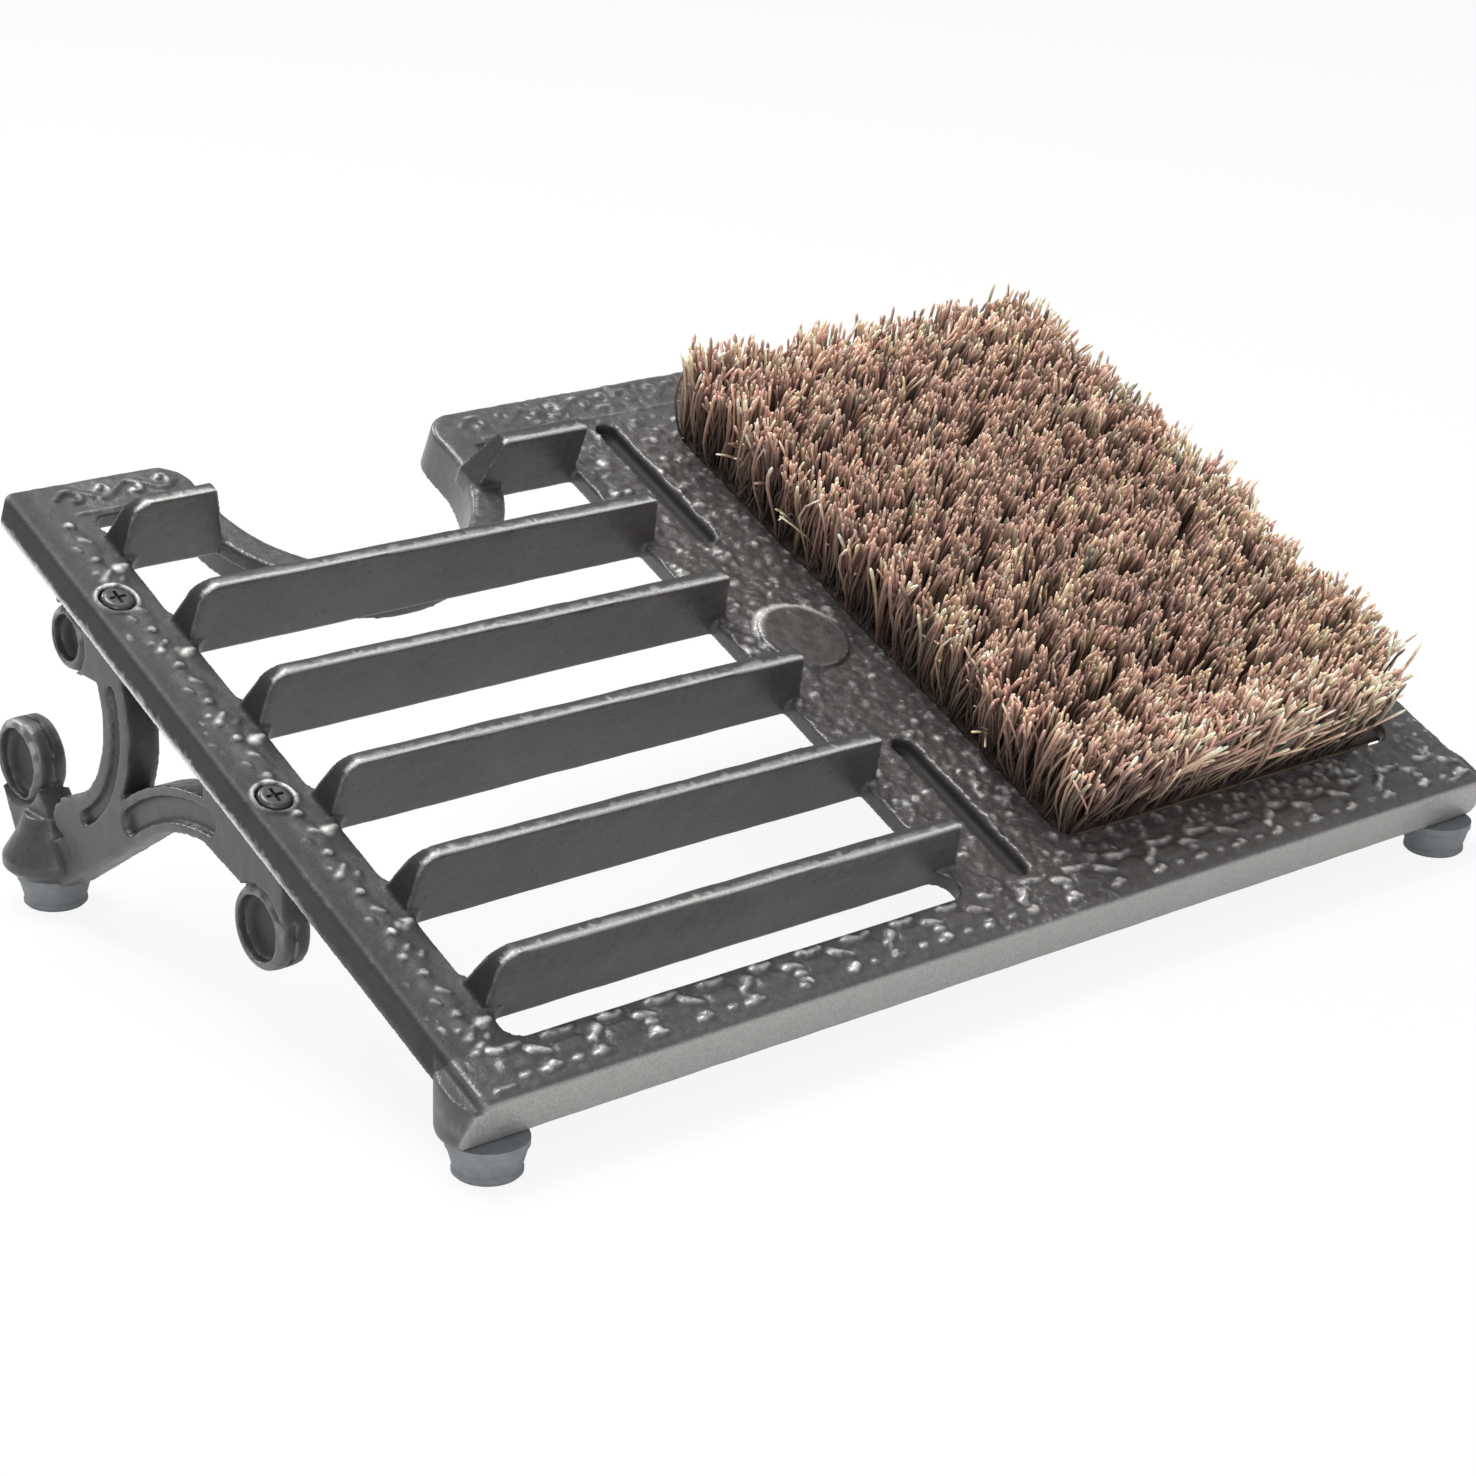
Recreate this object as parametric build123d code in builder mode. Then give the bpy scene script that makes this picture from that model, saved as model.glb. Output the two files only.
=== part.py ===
from build123d import *
import os
from math import cos, radians, sin

os.makedirs("parts", exist_ok=True)

# A free-standing boot scraper: one tilted iron casting with scraper blades, a boot jack notch and a
# brush pocket, on two scrolled iron legs behind and four rubber feet. Millimetres and degrees, +Z up.
# X runs along the front edge and Y runs back, towards the raised edge. The ground is at Z = 0.

# Plate
plate_width = 323.5
plate_depth = 211.0
plate_tilt = 23.5
web = 4.5
skirt_depth = 13.0
side_skirt_depth = 8.5
skirt_wall = 5.0
outer_corner_round = 2.5
notch_corner_round = 8.5
top_edge_round = 1.4
front_wall_clearance = 0.08

# Rails, measured across the plate
side_rail = 16.8
front_rail = 14.6
rear_rail = 14.0
middle_rail_start = 150.0
middle_rail_end = 188.0
fixing_line = 7.25

# Scraper blades
blade_count = 6
front_blade = 23.7
blade_pitch = 31.4
blade_rise_left = 16.0
blade_rise_right = 14.0
blade_ridge = 3.4
blade_root = 9.0
blade_toe = 1.6
blade_toe_run = 2.5
blade_left_inset = 1.0
blade_right_overlap = 3.5
blade_left_round = 5.0
blade_right_round = 1.2
gap_left_round = 4.0
gap_right_round = 7.5
gap_round_margin = 0.5

# Boot jack notch
notch_centre = 84.5
notch_radius = 36.0
notch_setback = 14.6
notch_rim = 8.5
split_blade_left_end = 38.5
split_blade_right_start = 123.5
split_blade_slope = 5.0

# Middle rail ornament
groove_length = 50.5
groove_width = 6.5
groove_sink = 2.6
groove_inset = 15.4
medallion_radius = 12.0
medallion_rise = 1.2

# Brush pocket and the two bars under it
pocket_end_rail = 13.5
pocket_front = 22.0
pocket_rear = 22.0
pocket_round = 6.0
bar_width = 12.0
bar_thickness = 3.5
bar_inset = 45.0
bar_bearing = 6.0
bar_leg_gap = 24.0

# Brush
brush_gap = 2.0
backing_thickness = 7.0
tuft_slice = 2.0
backing_round = 6.0
tuft_columns = 18
tuft_rows = 24
tuft_side = 1.9
tuft_margin = 3.0
tuft_length = 26.5
tuft_length_step = 1.2
tuft_fan = 4.5
tuft_sway = 0.6
sway_beat = (2.1, 3.7)
length_beat = (1.7, -2.3)
tuft_turn = 15.0
tuft_turns = 6

# Feet
foot_height = 8.5
foot_radius = 9.2
foot_flange = 1.6
foot_flange_blend = 0.5
foot_neck_radius = 8.8
foot_waist_radius = 7.5
foot_lip_radius = 7.8
foot_lip_height = 1.4
foot_lip_blend = 0.4
foot_lip_round = 0.6
foot_bore = 2.1
foot_counterbore = 4.7
foot_counterbore_depth = 4.2
front_foot_back = 8.6
rear_foot_back = 187.7

# Corner lugs over the front feet
lug_radius = 11.5
lug_round = 3.0

# Legs, with heights above the ground and distances back from the plate's front edge
leg_thickness = 9.0
leg_recess = 1.2
block_radius = 12.6
block_base_radius = 10.0
block_neck_radius = 7.0
block_widest = 12.0
block_top = 24.0
block_bevel = 3.5
block_bevel_height = 7.0
block_band_below = 1.0
block_band_above = 1.5
neck_front_drop = 2.0
neck_rear_drop = 8.0
neck_base_inset = 1.4
neck_front_overlap = 2.0
neck_front_dip = 4.0
neck_rear_overlap = 1.2
neck_rear_dip = 4.5
heel_scroll_back = 197.0
heel_scroll_height = 35.0
heel_scroll_radius = 10.5
stem_back = 179.5
stem_height = 56.5
stem_radius = 30.0
stem_width = 8.5
stem_start = 140.0
stem_sweep = 122.0
rail_scroll_back = 171.0
rail_scroll_height = 74.0
rail_scroll_radius = 8.0
stem_head_front = 4.0
stem_head_root = 3.0
stem_head_root_height = 5.0
stem_head_front_rise = 12.0
stem_head_rear = 6.0
stem_head_rear_rise = 20.0
stem_head_inner = 8.0
stem_head_inner_rise = 1.0
stem_channel_margin = 22.0
arch_back = 111.5
arch_height = -5.8
arch_radius = 53.0
arch_width = 11.0
arch_start = 53.0
arch_sweep = 48.0
arch_channel_lead = 1.0
arch_channel_margin = 8.0
pendant_back = 90.3
pendant_height = 28.0
pendant_radius = 10.2
pendant_head_rise = 35.0
pendant_shoulder = 9.0
pendant_shoulder_inset = 4.0
scroll_rim = 2.4
scroll_sink = 2.2
heel_recess_drop = 3.5
heel_recess_taper = 1.9

# Fasteners
screw_radius = 1.7
tapped_radius = 1.75
bore_relief = 0.5
screw_clearance = 2.1
screw_head_radius = 3.9
screw_head_height = 2.4
screw_seat_radius = 4.3
screw_seat_depth = 1.6
cross_width = 0.9
cross_length = 4.4
cross_depth = 1.1
leg_screw_rear = 168.0
leg_screw_front = 96.9
leg_screw_grip = 8.0
foot_screw_grip = 8.0
foot_screw_head_radius = 3.6
foot_screw_head_height = 2.2
washer_radius = 4.4
washer_thickness = 0.8
rail_pad_radius = 6.4
brush_screw_radius = 1.9
brush_pilot_radius = 1.95
brush_screw_head_radius = 3.6
brush_screw_head_height = 2.0
brush_screw_inset = 25.0
brush_screw_tip_cover = 1.0
brush_pilot_relief = 0.3


# The whole object is centred on the origin in X and in Y
tilt = radians(plate_tilt)
front_height = foot_height + skirt_depth * cos(tilt) + front_wall_clearance
rear_reach = heel_scroll_back + heel_scroll_radius
front_reach = front_foot_back - foot_radius
front_y = -(rear_reach + front_reach) / 2

# The plate's top face: local X runs along the front edge, local Y runs up the slope
slope = Plane(
    origin=(-plate_width / 2, front_y, front_height),
    x_dir=(1, 0, 0),
    z_dir=(0, -sin(tilt), cos(tilt)),
)
slope_normal = Axis(slope.origin, slope.z_dir)
underside = slope.offset(-skirt_depth)
rail_underside = slope.offset(-side_skirt_depth)
front_face = Plane(slope.origin, x_dir=slope.x_dir, z_dir=slope.y_dir)


def slope_point(along, up, height=0.0):
    """A point of the tilted plate in the object's own axes."""
    return slope.from_local_coords((along, up, height))


def side_plane(x):
    """A vertical plane across X, with local X = distance back from the plate's front edge."""
    return Plane(origin=(x, front_y, 0), x_dir=(0, 1, 0), z_dir=(1, 0, 0))


def blade_front(row):
    """Distance up the slope of a blade's flat front face, where row 0 is the front blade."""
    return front_blade + row * blade_pitch


fixing_x = plate_width / 2 - fixing_line
front_foot_y = front_y + front_foot_back
rear_foot_y = front_y + rear_foot_back
pocket_left = middle_rail_end
pocket_right = plate_width - pocket_end_rail
pocket_top = plate_depth - pocket_rear
pocket_middle = ((pocket_left + pocket_right) / 2, (pocket_front + pocket_top) / 2)
bar_rows = (pocket_front + bar_inset, leg_screw_rear - bar_leg_gap)
brush_screw_columns = (pocket_left + brush_screw_inset, pocket_right - brush_screw_inset)
backing_bottom = bar_thickness - skirt_depth
backing_top = backing_bottom + backing_thickness
tuft_base = backing_top + tuft_slice


# Frame casting
def plate_outline(sketch):
    """The plate seen square on, with the boot jack notch in its rear edge."""
    Rectangle(plate_width, plate_depth, align=(Align.MIN, Align.MIN))
    fillet(sketch.vertices(), outer_corner_round)
    with Locations((notch_centre, plate_depth - notch_setback)):
        Circle(notch_radius, mode=Mode.SUBTRACT)
        Rectangle(2 * notch_radius, notch_setback, align=(Align.CENTER, Align.MIN), mode=Mode.SUBTRACT)
    for side in (-1, 1):
        corner = (notch_centre + side * notch_radius, plate_depth, 0)
        fillet(sketch.vertices().sort_by_distance(corner)[0], notch_corner_round)


def front_lug(x):
    """Round lug that a front foot screws into, cut flush with the plate's front face."""
    with BuildPart() as lug:
        with BuildSketch(Plane.XY.offset(foot_height)):
            with Locations((x, front_foot_y)):
                Circle(lug_radius)
        extrude(amount=2 * front_height)
        fillet(lug.edges().group_by(Axis.Z)[0], lug_round)
        split(bisect_by=slope.offset(-web / 2), keep=Keep.BOTTOM)
        split(bisect_by=front_face, keep=Keep.TOP)
    return lug.part


def blade(row, elevation, rounds):
    """One scraper blade: a wedge with an upright front face, cut to its outline seen from the front."""
    section = [
        (0, -blade_toe),
        (0, blade_rise_left),
        (blade_ridge, blade_rise_left),
        (blade_root, 0),
        (blade_root, -web),
        (blade_toe_run, -web),
    ]
    start = slope_point(0, blade_front(row))
    with BuildPart() as bar:
        with BuildSketch(Plane(start, x_dir=slope.y_dir, z_dir=slope.x_dir)):
            with BuildLine():
                Polyline(*section, close=True)
            make_face()
        extrude(amount=middle_rail_end)
        with BuildSketch(Plane(start, x_dir=slope.x_dir, z_dir=-slope.y_dir)) as face:
            with BuildLine():
                Polyline(*elevation, close=True)
            make_face()
            for corner, radius in rounds:
                fillet(face.vertices().sort_by_distance(corner)[0], radius)
        extrude(amount=2 * blade_root, both=True, mode=Mode.INTERSECT)
    return bar.part


def full_blade(row):
    """A blade that spans the whole scraper half."""
    left = side_rail - blade_left_inset
    right = middle_rail_start
    elevation = [
        (left, -web),
        (left, blade_rise_left),
        (right, blade_rise_right),
        (right + blade_right_overlap, 0),
        (right + blade_right_overlap, -web),
    ]
    rounds = [
        ((left, blade_rise_left, 0), blade_left_round),
        ((right, blade_rise_right, 0), blade_right_round),
    ]
    return blade(row, elevation, rounds)


def split_blades(row):
    """The two short lengths of the rear blade, either side of the boot jack notch."""
    left = side_rail - blade_left_inset
    right = middle_rail_start
    left_elevation = [
        (left, -web),
        (left, blade_rise_left),
        (split_blade_left_end, blade_rise_left),
        (split_blade_left_end + split_blade_slope, 0),
        (split_blade_left_end + split_blade_slope, -web),
    ]
    right_elevation = [
        (split_blade_right_start - split_blade_slope, -web),
        (split_blade_right_start - split_blade_slope, 0),
        (split_blade_right_start, blade_rise_right),
        (right, blade_rise_right),
        (right, -web),
    ]
    left_rounds = [
        ((left, blade_rise_left, 0), blade_left_round),
        ((split_blade_left_end, blade_rise_left, 0), blade_right_round),
    ]
    right_rounds = [
        ((split_blade_right_start, blade_rise_right, 0), blade_right_round),
        ((right, blade_rise_right, 0), blade_right_round),
    ]
    return blade(row, left_elevation, left_rounds) + blade(row, right_elevation, right_rounds)


with BuildPart() as frame_casting:
    # Web and skirt
    with BuildSketch(slope) as web_outline:
        plate_outline(web_outline)
    extrude(amount=-web)
    fillet(frame_casting.faces().sort_by(slope_normal)[-1].edges(), top_edge_round)
    with BuildSketch(rail_underside) as skirt_outline:
        plate_outline(skirt_outline)
        offset(amount=-skirt_wall, kind=Kind.INTERSECTION, mode=Mode.SUBTRACT)
    extrude(amount=side_skirt_depth - web / 2)
    with BuildSketch(underside) as front_wall:
        plate_outline(front_wall)
        Rectangle(plate_width, skirt_wall, align=(Align.MIN, Align.MIN), mode=Mode.INTERSECT)
    extrude(amount=skirt_depth - web / 2)
    with BuildSketch(underside) as notch_wall:
        plate_outline(notch_wall)
        wall_radius = notch_radius + skirt_wall
        with Locations((notch_centre, plate_depth - notch_setback + wall_radius)):
            SlotOverall(4 * wall_radius, 2 * wall_radius, rotation=90, mode=Mode.INTERSECT)
    extrude(amount=skirt_depth - web / 2)

    # Gaps between the blades, the slot in front of them and the gap behind them
    for row in range(blade_count):
        gap_front = blade_front(row) + blade_root
        gap_rear = blade_front(row + 1) if row + 1 < blade_count else plate_depth - rear_rail
        with BuildSketch(slope) as gap:
            with Locations((side_rail, gap_front)):
                Rectangle(middle_rail_start - side_rail, gap_rear - gap_front, align=(Align.MIN, Align.MIN))
            corners = gap.vertices()
            depth_limit = (gap_rear - gap_front) / 2 - gap_round_margin
            fillet(corners.sort_by(Axis.X)[:2], min(gap_left_round, depth_limit))
            fillet(corners.sort_by(Axis.X)[-2:], min(gap_right_round, depth_limit))
            with Locations((notch_centre, plate_depth - notch_setback)):
                Circle(notch_radius + notch_rim, mode=Mode.SUBTRACT)
        extrude(amount=-web, mode=Mode.SUBTRACT)
    with BuildSketch(slope):
        with Locations(((side_rail + middle_rail_start) / 2, (front_rail + front_blade) / 2)):
            SlotOverall(middle_rail_start - side_rail, front_blade - front_rail)
    extrude(amount=-web, mode=Mode.SUBTRACT)

    # Scraper blades
    for row in range(blade_count - 1):
        add(full_blade(row))
    add(split_blades(blade_count - 1))

    # Brush pocket, with two bars that carry the brush and the posts that hold them
    with BuildSketch(slope):
        with Locations(pocket_middle):
            RectangleRounded(pocket_right - pocket_left, pocket_top - pocket_front, pocket_round)
    extrude(amount=-web, mode=Mode.SUBTRACT)
    with BuildSketch(underside):
        for bar_row in bar_rows:
            with Locations((pocket_middle[0], bar_row)):
                Rectangle(pocket_right - pocket_left + 2 * bar_bearing, bar_width)
    extrude(amount=bar_thickness)
    post_columns = (pocket_left - bar_bearing / 2, pocket_right + bar_bearing / 2)
    with BuildSketch(underside):
        with Locations(*[(column, bar_row) for column in post_columns for bar_row in bar_rows]):
            Rectangle(bar_bearing, bar_width)
    extrude(amount=skirt_depth - web / 2)
    with BuildSketch(underside):
        with Locations(*[(column, bar_row) for column in brush_screw_columns for bar_row in bar_rows]):
            Circle(screw_clearance)
    extrude(amount=bar_thickness, mode=Mode.SUBTRACT)

    # Grooves and medallion on the middle rail
    middle_of_rail = (middle_rail_start + middle_rail_end) / 2
    groove_rows = (groove_inset + groove_length / 2, plate_depth - groove_inset - groove_length / 2)
    with BuildSketch(slope):
        with Locations(*[(middle_of_rail, groove_row) for groove_row in groove_rows]):
            SlotOverall(groove_length, groove_width, rotation=90)
    extrude(amount=-groove_sink, mode=Mode.SUBTRACT)
    with BuildSketch(slope):
        with Locations((middle_of_rail, plate_depth / 2)):
            Circle(medallion_radius)
    extrude(amount=medallion_rise)

    # Pads and countersunk seats for the leg screws
    screw_places = [
        (along, up)
        for along in (fixing_line, plate_width - fixing_line)
        for up in (leg_screw_front, leg_screw_rear)
    ]
    with BuildSketch(rail_underside):
        with Locations(*screw_places):
            Circle(rail_pad_radius)
    extrude(amount=side_skirt_depth - web / 2)
    with BuildSketch(slope):
        with Locations(*screw_places):
            Circle(screw_clearance)
    extrude(amount=-side_skirt_depth, mode=Mode.SUBTRACT)
    with BuildSketch(slope):
        with Locations(*screw_places):
            Circle(screw_seat_radius)
    extrude(amount=-screw_seat_depth, mode=Mode.SUBTRACT)

    # Lugs over the front feet, with the holes for the foot screws
    add(front_lug(-fixing_x))
    add(front_lug(fixing_x))
    with BuildSketch(Plane.XY.offset(foot_height)):
        with Locations((-fixing_x, front_foot_y), (fixing_x, front_foot_y)):
            Circle(tapped_radius)
    extrude(amount=foot_screw_grip + bore_relief, mode=Mode.SUBTRACT)


# Legs
def scroll_recess(back, height, radius):
    """Round recess in a scroll's face, inside its rim."""
    with Locations((back, height)):
        Circle(radius - scroll_rim)


def leg(x):
    """One scrolled leg, cast flat, that stands in the vertical plane at this X."""
    middle = side_plane(x)
    half = leg_thickness / 2
    stem_front = stem_back - stem_radius
    rail_scroll_bottom = rail_scroll_height - rail_scroll_radius
    with BuildPart() as casting:
        with BuildSketch(middle):
            with BuildLine():
                stem_line = CenterArc((stem_back, stem_height), stem_radius, stem_start, stem_sweep)
            SlotArc(stem_line, stem_width)
            with BuildLine():
                arch_line = CenterArc((arch_back, arch_height), arch_radius, arch_start, arch_sweep)
                Line(arch_line @ 0, (rear_foot_back - block_neck_radius, block_widest))
            trace(line_width=arch_width)
            with Locations((heel_scroll_back, heel_scroll_height)):
                Circle(heel_scroll_radius)
            with Locations((rail_scroll_back, rail_scroll_height)):
                Circle(rail_scroll_radius)
            with Locations((pendant_back, pendant_height)):
                Circle(pendant_radius)
            # Neck from the foot block to the heel scroll
            with BuildLine():
                Polyline(
                    (rear_foot_back - block_neck_radius, block_top - neck_front_drop),
                    (
                        heel_scroll_back - heel_scroll_radius + neck_front_overlap,
                        heel_scroll_height - neck_front_dip,
                    ),
                    (
                        heel_scroll_back + heel_scroll_radius - neck_rear_overlap,
                        heel_scroll_height - neck_rear_dip,
                    ),
                    (rear_foot_back + block_radius - neck_base_inset, block_top - neck_rear_drop),
                    close=True,
                )
            make_face()
            # Head of the stem, up to the rail
            with BuildLine():
                Polyline(
                    (stem_front - stem_head_root, stem_height + stem_head_root_height),
                    (stem_front - stem_head_front, rail_scroll_height + stem_head_front_rise),
                    (rail_scroll_back + stem_head_rear, rail_scroll_height + stem_head_rear_rise),
                    (rail_scroll_back, rail_scroll_bottom),
                    (stem_front + stem_head_inner, rail_scroll_bottom + stem_head_inner_rise),
                    close=True,
                )
            make_face()
            # Head of the pendant, up to the rail
            with BuildLine():
                Polyline(
                    (pendant_back - pendant_radius, pendant_height),
                    (pendant_back - pendant_radius, pendant_height + pendant_head_rise),
                    (arch_back, pendant_height + pendant_head_rise),
                    (arch_back, arch_height + arch_radius - arch_width / 2),
                    (
                        pendant_back + pendant_radius - pendant_shoulder_inset,
                        pendant_height + pendant_shoulder,
                    ),
                    (pendant_back + pendant_shoulder_inset, pendant_height),
                    close=True,
                )
            make_face()
        extrude(amount=half, both=True)
        with BuildSketch(Plane(origin=(x, rear_foot_y, 0), x_dir=(1, 0, 0), z_dir=(0, -1, 0))):
            with BuildLine():
                Polyline(
                    (0, foot_height),
                    (block_base_radius, foot_height),
                    (block_radius, block_widest - block_band_below),
                    (block_radius, block_widest + block_band_above),
                    (block_radius - block_bevel, block_widest + block_bevel_height),
                    (block_neck_radius, block_top),
                    (0, block_top),
                    close=True,
                )
            make_face()
        revolve(axis=Axis((x, rear_foot_y, 0), (0, 0, 1)))
        split(bisect_by=rail_underside, keep=Keep.BOTTOM)
        split(bisect_by=Plane.XY.offset(foot_height), keep=Keep.TOP)
        for side in (-1, 1):
            face = side_plane(x + side * half)
            with BuildSketch(face):
                scroll_recess(heel_scroll_back, heel_scroll_height, heel_scroll_radius)
                scroll_recess(
                    heel_scroll_back,
                    heel_scroll_height - heel_recess_drop,
                    heel_scroll_radius - heel_recess_taper,
                )
                scroll_recess(rail_scroll_back, rail_scroll_height, rail_scroll_radius)
                scroll_recess(pendant_back, pendant_height, pendant_radius)
            extrude(amount=-side * scroll_sink, mode=Mode.SUBTRACT)
            with BuildSketch(face):
                with BuildLine():
                    stem_channel = CenterArc(
                        (stem_back, stem_height),
                        stem_radius,
                        stem_start + stem_channel_margin,
                        stem_sweep - 2 * stem_channel_margin,
                    )
                SlotArc(stem_channel, stem_width - 2 * scroll_rim)
                with BuildLine():
                    arch_channel = CenterArc(
                        (arch_back, arch_height),
                        arch_radius,
                        arch_start - arch_channel_lead,
                        arch_sweep - arch_channel_margin,
                    )
                SlotArc(arch_channel, arch_width - 2 * scroll_rim)
            extrude(amount=-side * leg_recess, mode=Mode.SUBTRACT)
        with BuildSketch(rail_underside):
            with Locations(
                (x + plate_width / 2, leg_screw_front),
                (x + plate_width / 2, leg_screw_rear),
            ):
                Circle(tapped_radius)
        extrude(amount=-(leg_screw_grip + bore_relief), mode=Mode.SUBTRACT)
        with BuildSketch(Plane.XY.offset(foot_height)):
            with Locations((x, rear_foot_y)):
                Circle(tapped_radius)
        extrude(amount=foot_screw_grip + bore_relief, mode=Mode.SUBTRACT)
    return casting.part


with BuildPart() as leg_left:
    add(leg(-fixing_x))

with BuildPart() as leg_right:
    add(leg(fixing_x))


# Screws
def pan_screw(seat, length, radius, head_radius, head_height):
    """Pan head screw with a cross recess: its head rises along the seat plane's normal."""
    with BuildPart() as screw:
        with BuildSketch(seat):
            Circle(head_radius)
        extrude(amount=head_height)
        top = Axis(seat.origin, seat.z_dir)
        fillet(screw.edges().group_by(top)[-1], head_height / 2)
        with BuildSketch(seat.offset(head_height)):
            Rectangle(cross_length, cross_width)
            Rectangle(cross_width, cross_length)
        extrude(amount=-cross_depth, mode=Mode.SUBTRACT)
        with BuildSketch(seat):
            Circle(radius)
        extrude(amount=-length)
        chamfer(screw.edges().group_by(top)[0], radius / 4)
    return screw.part


leg_screw_length = side_skirt_depth - screw_seat_depth + leg_screw_grip
leg_screws = {}
for side, along in (("left", fixing_line), ("right", plate_width - fixing_line)):
    for end, up in (("front", leg_screw_front), ("rear", leg_screw_rear)):
        with BuildPart() as leg_screw:
            seat = Plane(
                slope_point(along, up, -screw_seat_depth), x_dir=slope.x_dir, z_dir=slope.z_dir
            )
            add(pan_screw(seat, leg_screw_length, screw_radius, screw_head_radius, screw_head_height))
        leg_screws[f"leg_screw_{side}_{end}"] = leg_screw


# Feet, with the washer and the screw that hold each one
foot_points = [
    (foot_bore, foot_height),
    (foot_radius, foot_height),
    (foot_radius, foot_height - foot_flange),
    (foot_neck_radius, foot_height - foot_flange - foot_flange_blend),
    (foot_waist_radius, foot_lip_height + foot_lip_blend),
    (foot_lip_radius, foot_lip_height),
    (foot_lip_radius, foot_lip_round),
    (foot_lip_radius - foot_lip_round, 0),
    (foot_counterbore, 0),
    (foot_counterbore, foot_counterbore_depth),
    (foot_bore, foot_counterbore_depth),
]
washer_base = foot_counterbore_depth - washer_thickness
foot_screw_length = washer_thickness + foot_height - foot_counterbore_depth + foot_screw_grip

feet = {}
washers = {}
foot_screws = {}
for end, y in (("front", front_foot_y), ("rear", rear_foot_y)):
    for side, x in (("left", -fixing_x), ("right", fixing_x)):
        with BuildPart() as foot:
            with BuildSketch(Plane(origin=(x, y, 0), x_dir=(1, 0, 0), z_dir=(0, -1, 0))):
                with BuildLine():
                    Polyline(*foot_points, close=True)
                make_face()
            revolve(axis=Axis((x, y, 0), (0, 0, 1)))
        feet[f"foot_{end}_{side}"] = foot
        with BuildPart() as washer:
            with BuildSketch(Plane.XY.offset(washer_base)):
                with Locations((x, y)):
                    Circle(washer_radius)
                    Circle(screw_clearance, mode=Mode.SUBTRACT)
            extrude(amount=washer_thickness)
        washers[f"foot_washer_{end}_{side}"] = washer
        with BuildPart() as foot_screw:
            seat = Plane(origin=(x, y, washer_base), x_dir=(1, 0, 0), z_dir=(0, 0, -1))
            add(
                pan_screw(
                    seat, foot_screw_length, screw_radius, foot_screw_head_radius, foot_screw_head_height
                )
            )
        foot_screws[f"foot_screw_{end}_{side}"] = foot_screw


# Brush
backing_width = pocket_right - pocket_left - 2 * brush_gap
backing_depth = pocket_top - pocket_front - 2 * brush_gap

with BuildPart() as brush_backing:
    with BuildSketch(slope.offset(backing_bottom)):
        with Locations(pocket_middle):
            RectangleRounded(backing_width, backing_depth, backing_round)
    extrude(amount=backing_thickness)
    with BuildSketch(slope.offset(backing_bottom)):
        with Locations(*[(column, bar_row) for column in brush_screw_columns for bar_row in bar_rows]):
            Circle(brush_pilot_radius)
    extrude(amount=backing_thickness - brush_screw_tip_cover + brush_pilot_relief, mode=Mode.SUBTRACT)


def tuft(column, row):
    """One leaning tuft, whose fan grows towards the edges of the brush."""
    across = 2 * column / (tuft_columns - 1) - 1
    along = 2 * row / (tuft_rows - 1) - 1
    field_width = backing_width - 2 * tuft_margin - tuft_side
    field_depth = backing_depth - 2 * tuft_margin - tuft_side
    root = (
        pocket_middle[0] + across * field_width / 2,
        pocket_middle[1] + along * field_depth / 2,
    )
    sway = tuft_sway * sin(sway_beat[0] * column + sway_beat[1] * row)
    height = tuft_length + tuft_length_step * sin(length_beat[0] * column + length_beat[1] * row)
    lean = Vector(tuft_fan * across + sway, tuft_fan * along - sway, height)
    direction = slope.x_dir * lean.X + slope.y_dir * lean.Y + slope.z_dir * lean.Z
    turn = tuft_turn * ((column + 2 * row) % tuft_turns)
    with BuildSketch(slope.offset(backing_top + tuft_slice / 2)) as end:
        with Locations(root):
            Rectangle(tuft_side, tuft_side, rotation=turn)
    return extrude(end.sketch, amount=direction.length, dir=direction, mode=Mode.PRIVATE)


tufts = [tuft(column, row) for column in range(tuft_columns) for row in range(tuft_rows)]

with BuildPart() as brush_bristles:
    with BuildSketch(slope.offset(backing_top)):
        with Locations(pocket_middle):
            RectangleRounded(backing_width, backing_depth, backing_round)
    extrude(amount=tuft_slice)
    add(tufts, clean=False)

brush_screw_length = bar_thickness + backing_thickness - brush_screw_tip_cover
brush_screws = {}
for end, bar_row in zip(("front", "rear"), bar_rows):
    for side, column in zip(("left", "right"), brush_screw_columns):
        with BuildPart() as brush_screw:
            seat = Plane(
                slope_point(column, bar_row, -skirt_depth), x_dir=slope.x_dir, z_dir=-slope.z_dir
            )
            add(
                pan_screw(
                    seat,
                    brush_screw_length,
                    brush_screw_radius,
                    brush_screw_head_radius,
                    brush_screw_head_height,
                )
            )
        brush_screws[f"brush_screw_{end}_{side}"] = brush_screw


# Labels and files
pieces = {
    "frame_casting": frame_casting,
    "leg_left": leg_left,
    "leg_right": leg_right,
    "brush_backing": brush_backing,
    "brush_bristles": brush_bristles,
    **leg_screws,
    **feet,
    **washers,
    **foot_screws,
    **brush_screws,
}
for name, piece in pieces.items():
    piece.part.label = name
    export_step(piece.part, f"parts/{name}.step")
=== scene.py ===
import bpy
import math
import random
import numpy as np
from mathutils import Matrix, Vector, noise


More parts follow.
